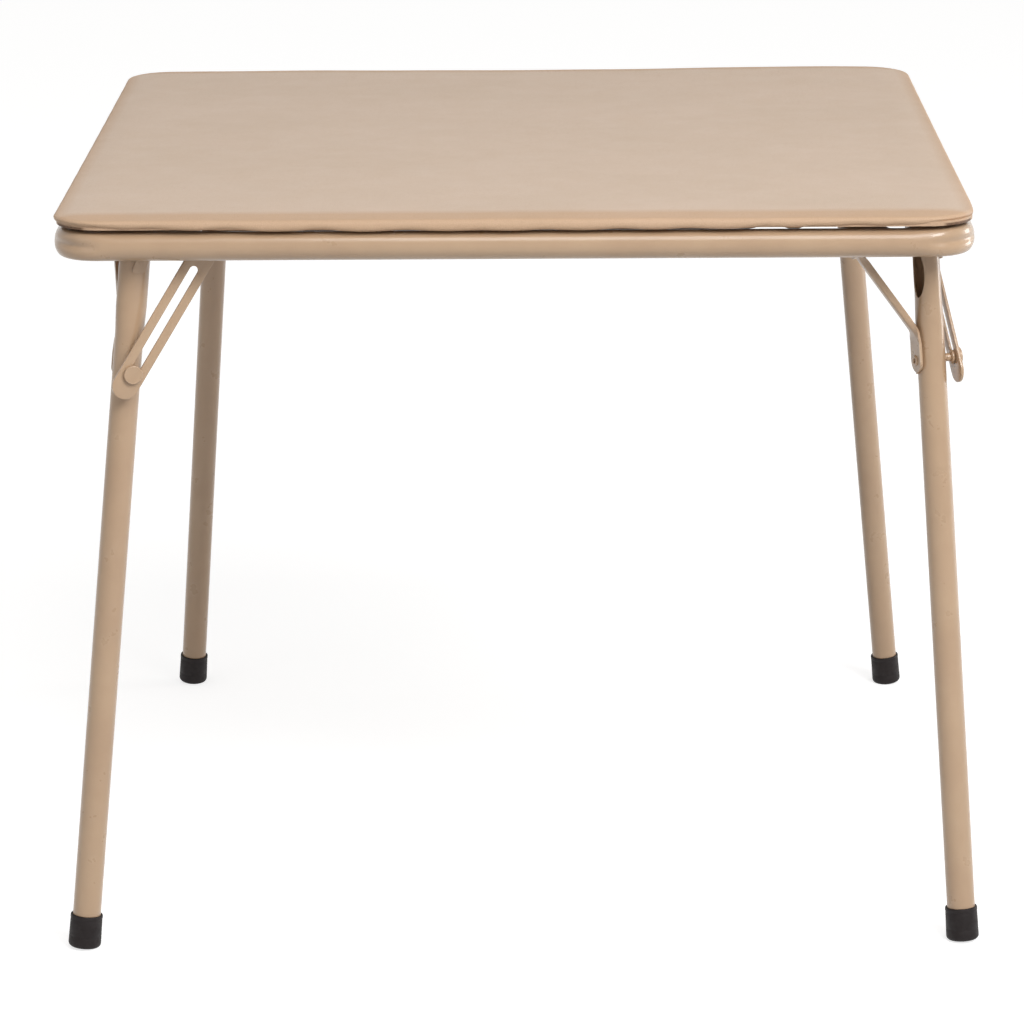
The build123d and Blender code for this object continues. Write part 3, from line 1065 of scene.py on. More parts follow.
@dataclass
class PaddedTop:
    """Vinyl over thin foam, rolled down at the edge, scalloped where staples pull it, and hemmed below.

    The lip tables give each side's lift of the vinyl's low edge as (along, lift) in millimetres.
    """

    inner_corner: float = 0.006
    height: float = 0.5032
    board_under: float = 0.4954
    board_top: float = 0.4984
    board_inset: float = 0.0024
    board_skin: float = 1e-4
    hem_width: float = 0.024
    roll: float = 0.027
    drop: float = 0.002
    edge_radius: float = 0.0037
    under_radius: float = 0.0026
    side_steps: int = 148
    arc_steps: int = 10
    under_steps: int = 8
    edge_steps: int = 10
    shoulder_steps: int = 9
    hem_rows: tuple[Span, ...] = (
        (0.0235, 0.0), (0.0185, 0.0), (0.0150, 0.0), (0.0130, 0.03), (0.0112, 0.1),
        (0.0093, 0.3), (0.0078, 0.5), (0.0064, 0.75), (0.0052, 0.9), (0.0042, 1.0))
    face_rows: tuple[float, ...] = (0.027, 0.031, 0.036, 0.042, 0.050, 0.060)
    lip_fade: float = 0.0042
    lip_share: float = 0.9
    sag: float = 0.0019
    sag_inset: float = 0.0093
    sag_spread: float = 0.0028
    gusset_start: float = 0.200
    gusset_fade: float = 0.006
    pulled_corner: float = 0.0026
    pulled_place: Span = (0.298, -0.298)
    pulled_reach: float = 0.030
    pulled_span: Span = (0.004, 0.030)
    scallop: float = 0.0013
    tuck: float = 0.2
    tuck_from: float = 0.0012
    pleat: float = 0.00022
    pleat_count: int = 36
    pleat_inset: float = 0.003
    pleat_reach: float = 0.012
    pleat_height: float = 0.0032
    face_start: float = 0.0035
    face_full: float = 0.001
    lip: tuple[tuple[Span, ...], ...] = (
        ((-303, 2.4), (-285, 2.9), (-275, 2.5), (-268, 2.2), (-259, 1.4), (-252, 0.8), (-242, 1.5), (-232, 1.4),
         (-222, 0.4), (-209, -0.1), (-200, 0.2), (-190, 1.1), (-184, 1.0), (-177, 0.2), (-168, -0.6), (-155, -0.95),
         (-144, -0.7), (-137, -0.3), (-130, 0.5), (-124, 0.5), (-117, -0.3), (-106, -1.1), (-93, -1.25),
         (-83, -0.8), (-73, -0.15), (-65, -0.15), (-58, -0.8), (-43, -1.15), (-30, -0.9), (-21, -0.5), (-12, -1.0),
         (5, -1.15), (13, -0.5), (20, -0.15), (28, -0.5), (36, -0.9), (46, -1.0), (56, -0.7), (67, 0.15),
         (75, 0.0), (84, -0.6), (94, -0.85), (103, -0.4), (110, 0.2), (117, 0.15), (126, -0.4), (137, -0.6),
         (148, -0.4), (155, 0.3), (161, 1.0), (167, 1.0), (173, 0.5), (181, 0.0), (187, 0.3), (192, 1.1),
         (198, 0.6), (205, 1.0), (212, 0.8), (218, 1.6), (228, 1.9), (234, 1.2), (240, 0.4), (245, 1.2),
         (250, 1.9), (256, 1.2), (262, 0.9), (270, 1.9), (280, 2.8), (290, 2.6), (303, 2.2)),
        ((-303, 2.2), (-285, 2.6), (-266, 1.7), (-252, 0.3), (-232, 0.9), (-214, -0.2), (-196, 0.4), (-176, -0.6),
         (-155, 0.0), (-134, -0.9), (-112, -0.2), (-92, -1.1), (-68, -0.4), (-46, -1.2), (-22, -0.4), (4, -1.2),
         (26, -0.4), (52, -1.1), (78, -0.3), (104, -1.0), (129, 0.0), (152, -0.7), (176, 0.3), (199, -0.4),
         (221, 0.7), (243, 0.0), (262, 1.5), (282, 2.5), (303, 2.0)),
        ((-303, 2.0), (-284, 2.4), (-262, 1.2), (-240, 0.2), (-218, 0.9), (-197, -0.3), (-171, 0.3), (-148, -0.7),
         (-121, 0.0), (-96, -1.0), (-70, -0.3), (-44, -1.1), (-19, -0.5), (8, -1.2), (33, -0.4), (57, -1.1),
         (83, -0.4), (108, -0.9), (134, 0.1), (157, -0.6), (181, 0.5), (204, -0.2), (229, 0.9), (250, 0.3),
         (268, 1.8), (285, 2.6), (303, 2.0)),
        ((-303, 2.0), (-283, 2.5), (-259, 1.3), (-237, 0.1), (-214, 0.8), (-190, -0.2), (-165, 0.4), (-139, -0.8),
         (-113, -0.1), (-88, -1.1), (-61, -0.3), (-36, -1.2), (-10, -0.5), (16, -1.2), (41, -0.4), (66, -1.1),
         (92, -0.2), (117, -0.9), (143, 0.2), (168, -0.5), (193, 0.4), (216, -0.3), (238, 0.8), (257, 0.6),
         (274, 2.0), (289, 2.6), (303, 2.4)),
    )

    def around(self, inset: float) -> tuple[np.ndarray, np.ndarray]:
        """Points of a rounded square drawn in from the pad's edge, the same count for any inset.

        Args:
            inset: how far in it lies.

        Returns:
            The points (x, y) and their outward ways.
        """
        half = PAD_HALF - inset
        radius = max(self.inner_corner, PAD_CORNER - inset)
        flat = half - radius

        def arc(middle: float, start: float) -> list[tuple[float, ...]]:
            """Points and ways round half a corner."""
            angles = [start + a for a in steps(QUARTER / 2, self.arc_steps)]
            return [(middle + radius * math.sin(a), -flat - radius * math.cos(a), math.sin(a), -math.cos(a))
                    for a in angles]

        side = arc(-flat, -QUARTER / 2)
        side += [(x - flat, -half, 0.0, -1.0) for x in steps(2 * flat, self.side_steps)]
        side += arc(flat, 0.0)
        rows = []
        for spin in steps(2 * math.pi, 4):
            c, s = math.cos(spin), math.sin(spin)
            rows += [(c * x - s * y, s * x + c * y, c * u - s * v, s * u + c * v) for x, y, u, v in side]
        table = np.array(rows)
        return table[:, :2], table[:, 2:]

    def sides(self) -> Iterator[tuple[int, np.ndarray]]:
        """Each side's number and how far along it each of its edge points lies.

        Yields:
            The number and the places, in the order of the edge points.
        """
        edge, _ = self.around(0.0)
        for side, spots in enumerate(np.split(edge, 4)):
            spin = -QUARTER * side
            yield side, math.cos(spin) * spots[:, 0] - math.sin(spin) * spots[:, 1]

    def lifts(self) -> np.ndarray:
        """How far the lip rises or sags at each point round the edge: it bows down and staples pull it up."""
        lift = np.concatenate([np.interp(1000 * along, *zip(*self.lip[side])) / 1000 for side, along in self.sides()])
        for _ in range(3):
            lift = 0.5 * lift + 0.25 * (np.roll(lift, 1) + np.roll(lift, -1))
        return lift

    def closed(self) -> np.ndarray:
        """Where the hem sags close to the tube, by point round the edge: 1 is close."""
        low, high = self.gusset_start - self.gusset_fade, self.gusset_start
        return np.array([sealed(side, x) * (1 - smooth_step(abs(x), low, high))
                         for side, along in self.sides() for x in along])

    def pleats(self) -> np.ndarray:
        """Small folds where the vinyl is gathered round each corner, by point round the edge."""
        _, ways = self.around(0.0)
        angle = np.arctan2(ways[:, 1], ways[:, 0])
        diagonal = np.abs(ways[:, 0] * ways[:, 1]) * 2
        folds = np.cos(angle * self.pleat_count + 0.7 * np.sin(angle * 5))
        return np.where(diagonal > 0.05, folds, 0.0) * np.minimum(1.0, diagonal * 1.6)

    def profile(self) -> list[Triple]:
        """The outer skin as (inset, height, how much the lip moves it), from the hem inwards over the edge."""
        rows = [(inset, HEM_HEIGHT, share) for inset, share in self.hem_rows]
        under = self.under_radius
        for a in steps(QUARTER, self.under_steps):
            rows.append((under - under * math.sin(a), HEM_HEIGHT + under - under * math.cos(a), 1.0))
        crown = (self.roll ** 2 + self.drop ** 2) / (2 * self.drop)
        slope = math.asin((self.roll - self.edge_radius) / crown)
        tight = self.edge_radius / (1 - math.sin(slope))
        low = self.height - crown * (1 - math.cos(slope)) - tight * math.cos(slope)
        for a in steps(QUARTER - slope, self.edge_steps):
            height = low + tight * math.sin(a)
            share = max(0.0, 1 - (height - low) / self.lip_fade) * self.lip_share
            rows.append((tight - tight * math.cos(a), height, share))
        for i in range(self.shoulder_steps):
            a = slope * (1 - i / self.shoulder_steps)
            rows.append((self.roll - crown * math.sin(a), self.height - crown * (1 - math.cos(a)), 0.0))
        return rows + [(inset, self.height, 0.0) for inset in self.face_rows]

    def surface(self, x: np.ndarray, y: np.ndarray) -> np.ndarray:
        """How far the top swells or sinks, and how far the panel's rear edge is lifted.

        Args:
            x: the places across.
            y: the places in depth.

        Returns:
            The change of height.
        """
        swell = 0.00012 * np.sin(x * 23 + 1.3) * np.cos(y * 19 - 0.6)
        swell += 0.00008 * np.sin(x * 61 - y * 47 + 0.4)
        rear = 0.0019 * bump(x, 0.215, 0.11) + 0.0007 * bump(x, -0.16, 0.09)
        return swell + rear * bump(y, PAD_HALF, 0.09)

    def skin(self) -> list[np.ndarray]:
        """The contours of the closed pad from its inside over the hem and edge to the top's inner grid."""
        lift, pleat, shut = self.lifts(), self.pleats(), self.closed()
        edge, _ = self.around(0.0)
        away = (edge[:, 0] - self.pulled_place[0]) ** 2 + (edge[:, 1] - self.pulled_place[1]) ** 2
        tug = self.pulled_corner * np.exp(-away / self.pulled_reach ** 2)
        wobble = 0.0012 * np.sin(edge[:, 0] * 91 + 2) * np.cos(edge[:, 1] * 83) + 0.0006 * pleat
        contours = []
        still = np.zeros(len(edge))
        rim = self.board_inset - self.board_skin
        over, below = self.board_top + CLEARANCE, self.board_under - CLEARANCE
        for inset, height, shift in ((self.face_rows[-1], over, still), (rim, over, still), (rim, below, still),
                                     (self.hem_width, below, wobble), (self.hem_width, HEM_HEIGHT, wobble)):
            spots, ways = self.around(inset)
            contours.append(np.column_stack([spots + ways * shift[:, None], np.full(len(spots), height)]))
        for inset, height, share in self.profile():
            spots, ways = self.around(inset)
            on_hem = height == HEM_HEIGHT
            fold = self.pleat * pleat * max(0.0, 1 - abs(inset - self.pleat_inset) / self.pleat_reach)
            fold = fold * (1.0 if height < HEM_HEIGHT + self.pleat_height else 0.35)
            near = 1 - smooth_step(inset, *self.pulled_span)
            pull = self.tuck * share * np.maximum(lift + self.tuck_from, 0.0)
            small = np.minimum(lift, self.scallop)
            even = min(1.0, max(0.0, 1 - (height - HEM_HEIGHT) / (self.height - self.drop - HEM_HEIGHT)))
            even *= share if on_hem else 1.0
            tall = height + share * small + even * (lift - small) + 0.4 * fold
            if on_hem:
                belly = self.sag * bump(inset, self.sag_inset, self.sag_spread)
                tall = (1 - shut) * tall + shut * np.minimum(tall, height - belly)
            moved = spots - ways * (pull + fold + near * tug)[:, None]
            swelling = smooth_step(height, self.height - self.face_start, self.height - self.face_full)
            contours.append(np.column_stack([moved, tall + swelling * self.surface(moved[:, 0], moved[:, 1])]))
        return contours

    def grid(self, ring: np.ndarray) -> tuple[list[Triple], list[list[int]]]:
        """Fills the last contour with a square grid blended from its four sides.

        Args:
            ring: the last contour's points.

        Returns:
            The inner points, and the faces with the ring's points numbered first.
        """
        side = len(ring) // 4
        number = {}
        for i in range(side + 1):
            number[(i, 0)] = i
            number[(side, i)] = (side + i) % (4 * side)
            number[(side - i, side)] = (2 * side + i) % (4 * side)
            number[(0, side - i)] = (3 * side + i) % (4 * side)
        inner: list[Triple] = []
        for j in range(1, side):
            for i in range(1, side):
                u, v = i / side, j / side
                low, high = ring[number[(i, 0)]], ring[number[(i, side)]]
                left, right = ring[number[(0, j)]], ring[number[(side, j)]]
                corners = ((1 - u) * (1 - v) * ring[number[(0, 0)]] + u * (1 - v) * ring[number[(side, 0)]]
                           + (1 - u) * v * ring[number[(0, side)]] + u * v * ring[number[(side, side)]])
                spot = (1 - v) * low + v * high + (1 - u) * left + u * right - corners
                number[(i, j)] = 4 * side + len(inner)
                inner.append((spot[0], spot[1], self.height + float(self.surface(spot[0], spot[1]))))
        faces = [[number[(i, j)], number[(i + 1, j)], number[(i + 1, j + 1)], number[(i, j + 1)]]
                 for j in range(side) for i in range(side)]
        return inner, faces

    def build(self, vinyl: Graph) -> None:
        """Builds the padded cover.

        Args:
            vinyl: its vinyl.
        """
        contours = self.skin()
        count, rows = len(contours[0]), len(contours)
        inner, cells = self.grid(contours[-1])
        last = (rows - 1) * count
        faces = [list(range(count))[::-1]] + MeshShop.bands(count, rows)
        faces += [[last + number for number in cell] for cell in cells]
        points = [tuple(p) for contour in contours for p in contour] + inner
        made = MeshShop.finish(MeshShop.make("padded_cover", points, faces), sharp=60.0, merge=1e-7)
        hand_over(made, vinyl, Slot.VINYL, TOP_BODY, "vinyl_cover", "foam_pad")


class FastenerTree(Nodes):
    """A Geometry Nodes tree that puts a fastener on each point, with its sizes as named inputs."""

    HALF_TURN = (math.pi, 0.0, 0.0)

    def __init__(self, name: str, sizes: dict[str, float]) -> None:
        """Starts a tree that takes places and gives geometry.

        Args:
            name: the tree's name.
            sizes: its named lengths.
        """
        super().__init__(bpy.data.node_groups.new(name, "GeometryNodeTree"))
        sockets = self.tree.interface
        sockets.new_socket("Places", in_out="INPUT", socket_type="NodeSocketGeometry")
        sockets.new_socket("Result", in_out="OUTPUT", socket_type="NodeSocketGeometry")
        self.source = self.add("NodeGroupInput")
        self.output = self.add("NodeGroupOutput")
        for label, value in sizes.items():
            sockets.new_socket(label, in_out="INPUT", socket_type="NodeSocketFloat").default_value = value
        sockets.new_socket("Finish", in_out="INPUT", socket_type="NodeSocketMaterial")

    def scaled(self, name, share: float) -> Socket:
        """A share of a named input or of an output.

        Args:
            name: the input's name, or an output.
            share: the share.

        Returns:
            The product.
        """
        return self.math("MULTIPLY", self.source.outputs[name] if isinstance(name, str) else name, share)

    def vector(self, x=0.0, y=0.0, z=0.0) -> Socket:
        """A vector from three numbers or outputs.

        Args:
            x: its first number.
            y: its second number.
            z: its third number.

        Returns:
            The vector.
        """
        return self.add("ShaderNodeCombineXYZ", X=x, Y=y, Z=z).outputs[0]

    def moved(self, geometry: Socket, **changes) -> Socket:
        """Geometry moved, turned or scaled.

        Args:
            geometry: what is changed.
            changes: Translation, Rotation or Scale.

        Returns:
            The changed geometry.
        """
        return self.add("GeometryNodeTransform", Geometry=geometry, **changes).outputs["Geometry"]

    def joined(self, *parts: Socket) -> Socket:
        """Several geometries as one.

        Args:
            parts: the geometries.

        Returns:
            The whole.
        """
        return self.add("GeometryNodeJoinGeometry", i0=list(parts)).outputs[0]

    def shank(self, sides: int, length: str) -> Socket:
        """A shank round the origin, of the tree's Shank Diameter.

        Args:
            sides: the steps round it.
            length: the named input that gives its length.

        Returns:
            The shank.
        """
        return self.add("GeometryNodeMeshCylinder", Vertices=sides, Depth=self.source.outputs[length],
                        Radius=self.scaled("Shank Diameter", 0.5)).outputs["Mesh"]

    def head(self) -> Socket:
        """A head of the tree's Head Diameter and Head Height: a short straight rim with a low dome, closed below."""
        radius, height = self.scaled("Head Diameter", 0.5), self.source.outputs["Head Height"]
        rim = self.scaled(height, 0.35)
        base = self.add("GeometryNodeMeshCylinder", {"fill_type": "NGON"}, Vertices=28, Radius=radius, Depth=rim)
        low = self.moved(base.outputs["Mesh"], Translation=self.vector(z=self.scaled(rim, 0.5)))
        ball = self.add("GeometryNodeMeshUVSphere", Segments=28, Rings=14, Radius=1.0)
        spot = self.add("ShaderNodeSeparateXYZ", Vector=self.add("GeometryNodeInputPosition").outputs[0])
        below = self.add("FunctionNodeCompare", {"operation": "LESS_THAN"}, A=spot.outputs["Z"], B=-0.01)
        bowl = self.add("GeometryNodeDeleteGeometry", Geometry=ball.outputs["Mesh"], Selection=below.outputs[0])
        size = self.vector(radius, radius, self.scaled(height, 0.65))
        return self.joined(low, self.moved(bowl.outputs[0], Translation=self.vector(z=rim), Scale=size))

    def placed(self, thing: Socket) -> None:
        """Puts a copy on every place, turned to its aim, and makes the result real.

        Args:
            thing: the fastener.
        """
        aim, side = (
            self.add("GeometryNodeInputNamedAttribute", {"data_type": "FLOAT_VECTOR"}, Name=name).outputs["Attribute"]
            for name in ("aim", "side"))
        up = self.add("FunctionNodeAlignRotationToVector", {"axis": "Z"}, Vector=aim)
        across = self.add("FunctionNodeAlignRotationToVector", {"axis": "X", "pivot_axis": "Z"},
                          Rotation=up.outputs["Rotation"], Vector=side)
        spots = self.add("GeometryNodeMeshToPoints", Mesh=self.source.outputs["Places"])
        copies = self.add("GeometryNodeInstanceOnPoints", Points=spots.outputs[0], Instance=thing,
                          Rotation=across.outputs["Rotation"])
        real = self.add("GeometryNodeRealizeInstances", Geometry=copies.outputs[0])
        dressed = self.add("GeometryNodeSetMaterial", Geometry=real.outputs[0], Material=self.source.outputs["Finish"])
        self.fill(self.output, i0=dressed.outputs[0])

    def run(self, name: str, places: Sequence[Place], **values) -> Object:
        """Runs the tree on a set of places.

        Args:
            name: the piece's name.
            places: (point, aim, side) for each copy.
            values: the tree's inputs by name, with _ for a space.

        Returns:
            The plain mesh object.
        """
        carrier = MeshShop.make(name, [place[0] for place in places], [])
        for index, label in enumerate(("aim", "side"), 1):
            data = carrier.data.attributes.new(label, "FLOAT_VECTOR", "POINT")
            data.data.foreach_set("vector", [c for place in places for c in place[index]])
        modifier = carrier.modifiers.new("fasteners", "NODES")
        modifier.node_group = self.tree
        ids = {s.name: s.identifier for s in self.tree.interface.items_tree if s.in_out == "INPUT"}
        for key, value in values.items():
            modifier[ids[key.replace("_", " ")]] = value
        return MeshShop.finish(MeshShop.baked(carrier))


class RivetSize(NamedTuple):
    """A rivet's place in the hinge frame, its head's diameter and height, and its grip."""

    spot: Triple
    head: float
    height: float
    grip: float


@dataclass
class Fasteners:
    """Rivets, panel screws and hem staples, all made by Geometry Nodes trees."""

    shank: float = 0.006
    hinge: RivetSize = RivetSize((0.0, 0.0, 0.0), 0.0084, 0.0010, 0.0213)
    strut: RivetSize = RivetSize((-0.05005, 0.0, 0.0), 0.011, 0.0016, 0.0047)
    brace: RivetSize = RivetSize((0.01765, USUAL_HINGE.pivot_along, USUAL_HINGE.pivot_up), 0.011, 0.0016, 0.0049)
    screw_spots: tuple[Span, ...] = ((0.2399, -0.2719), (0.2719, -0.2249))
    inner_screw_spots: tuple[Span, ...] = ((0.2039, -0.2719), (0.2719, -0.2249))
    gusset_under: float = 0.49385
    staple_shares: tuple[float, ...] = (
        -0.786, -0.629, -0.419, -0.229, -0.067, 0.073, 0.235, 0.386, 0.556, 0.670, 0.762, 0.847)
    staple_inset: float = 0.0085
    staple_under: float = 0.0003

    def rivet_tree(self) -> FastenerTree:
        """A rivet: a shank with a low domed head at each end of its grip."""
        tree = FastenerTree("riveted_joints", {
            "Head Diameter": 0.011, "Head Height": 0.0016, "Shank Diameter": self.shank, "Grip": 0.005})
        over = tree.moved(tree.head(), Translation=tree.vector(z=tree.scaled("Grip", 0.5)))
        tree.placed(tree.joined(over, tree.moved(over, Rotation=tree.HALF_TURN), tree.shank(24, "Grip")))
        return tree

    def screw_tree(self) -> FastenerTree:
        """A pan-head screw with a cross cut in its head, pointing along its aim."""
        tree = FastenerTree("panel_screws", {
            "Head Diameter": 0.007, "Head Height": 0.0018, "Cross Width": 0.0009, "Cross Depth": 0.0011,
            "Shank Diameter": 0.0034, "Shank Length": 0.0042})
        flipped = tree.moved(tree.head(), Rotation=tree.HALF_TURN)
        welded = tree.add("GeometryNodeMergeByDistance", Geometry=flipped, Distance=1e-6)
        width, long = tree.source.outputs["Cross Width"], tree.scaled("Head Diameter", 0.62)
        deep, down = tree.scaled("Cross Depth", 2.0), tree.vector(z=tree.scaled("Head Height", -1.0))
        bars = [tree.moved(tree.add("GeometryNodeMeshCube", Size=tree.vector(x, y, deep)).outputs["Mesh"],
                           Translation=down) for x, y in ((long, width), (width, long))]
        cut = tree.add("GeometryNodeMeshBoolean", {"operation": "DIFFERENCE", "solver": "EXACT"},
                       Mesh_1=welded.outputs[0], Mesh_2=bars)
        up = tree.vector(z=tree.scaled("Shank Length", 0.5))
        tree.placed(tree.joined(cut.outputs["Mesh"], tree.moved(tree.shank(20, "Shank Length"), Translation=up)))
        return tree

    def staple_tree(self) -> FastenerTree:
        """A staple: a crown with a bent prong at each end, pointing along its aim."""
        tree = FastenerTree("hem_staples", {"Crown Length": 0.0075, "Wire Diameter": 0.0006, "Prong Length": 0.0024})
        line = tree.add("GeometryNodeCurvePrimitiveLine")
        four = tree.add("GeometryNodeResampleCurve", Curve=line.outputs[0], Count=4)
        offset = tree.math("SUBTRACT", tree.add("GeometryNodeInputIndex").outputs[0], 1.5)
        tip = tree.math("GREATER_THAN", tree.math("ABSOLUTE", offset), 1.0)
        spot = tree.vector(x=tree.math("MULTIPLY", tree.math("SIGN", offset), tree.scaled("Crown Length", 0.5)),
                           z=tree.math("MULTIPLY", tip, tree.source.outputs["Prong Length"]))
        bent = tree.add("GeometryNodeSetPosition", Geometry=four.outputs[0], Position=spot)
        fillet = tree.add("GeometryNodeFilletCurve", {"mode": "POLY"}, Curve=bent.outputs[0], Radius=0.0005, Count=3)
        wire = tree.add("GeometryNodeCurvePrimitiveCircle", Resolution=10, Radius=tree.scaled("Wire Diameter", 0.5))
        solid = tree.add("GeometryNodeCurveToMesh", Curve=fillet.outputs[0], Profile_Curve=wire.outputs[0],
                         Fill_Caps=True)
        tree.placed(solid.outputs[0])
        return tree

    def rivet_places(self, spot: Triple) -> list[Place]:
        """The same place in the hinge frame at all four corners, aimed along the hinge axis.

        Args:
            spot: the place.

        Returns:
            The places.
        """
        frames = [corner.turn @ hinge_of(corner).hinge for corner in Corner]
        return [(f @ Vector(spot), f.to_3x3() @ X_WAY, f.to_3x3() @ Y_WAY) for f in frames]

    def staple_places(self) -> list[Place]:
        """Where the staples sit: a row along each side and one across each corner."""
        rows = []
        height = HEM_HEIGHT - self.staple_under
        bend = PAD_HALF - PAD_CORNER + (PAD_CORNER - self.staple_inset) / math.sqrt(2)
        for corner in Corner:
            turn = corner.turn
            spots = [((share * PAD_HALF, self.staple_inset - PAD_HALF), X_WAY) for share in self.staple_shares]
            for (x, y), side in spots + [((bend, -bend), X_WAY + Y_WAY)]:
                rows.append((turn @ Vector((x, y, height)), UP, (turn @ side).normalized()))
        return rows

    def screw_places(self) -> list[Place]:
        """Where the screws sit under each gusset, pointing up into the board, each turned its own way."""
        rows = []
        for number, corner in enumerate(Corner):
            for x, y in self.inner_screw_spots if corner is Corner.BACK_LEFT else self.screw_spots:
                spin = 1.1 * number + 40 * x
                side = Vector((math.cos(spin), math.sin(spin), 0.0))
                rows.append((corner.turn @ Vector((x, y, self.gusset_under)), UP, side))
        return rows

    def build(self, paint: Graph, zinc: Graph) -> None:
        """Builds every fastener.

        Args:
            paint: the enamel of the rivets.
            zinc: the plating of the screws and staples.
        """
        rivets = self.rivet_tree()
        for name, size, node in (("hinge_rivets", self.hinge, "hinge_rivet"),
                                 ("strut_pivots", self.strut, "strut_pivot_rivet"),
                                 ("brace_pivots", self.brace, "brace_pivot_rivet")):
            made = rivets.run(name, self.rivet_places(size.spot), Head_Diameter=size.head, Head_Height=size.height,
                              Shank_Diameter=self.shank, Grip=size.grip, Finish=paint.material)
            hand_over(made, None, Slot.PAINT, TOP_BODY, *(f"{corner.label}_{node}" for corner in Corner))
        for name, tree, places, node in (
                ("gusset_screws", self.screw_tree(), self.screw_places(), "panel_screws"),
                ("hem_staples", self.staple_tree(), self.staple_places(), "cover_staples")):
            hand_over(tree.run(name, places, Finish=zinc.material), None, Slot.ZINC, TOP_BODY, node)


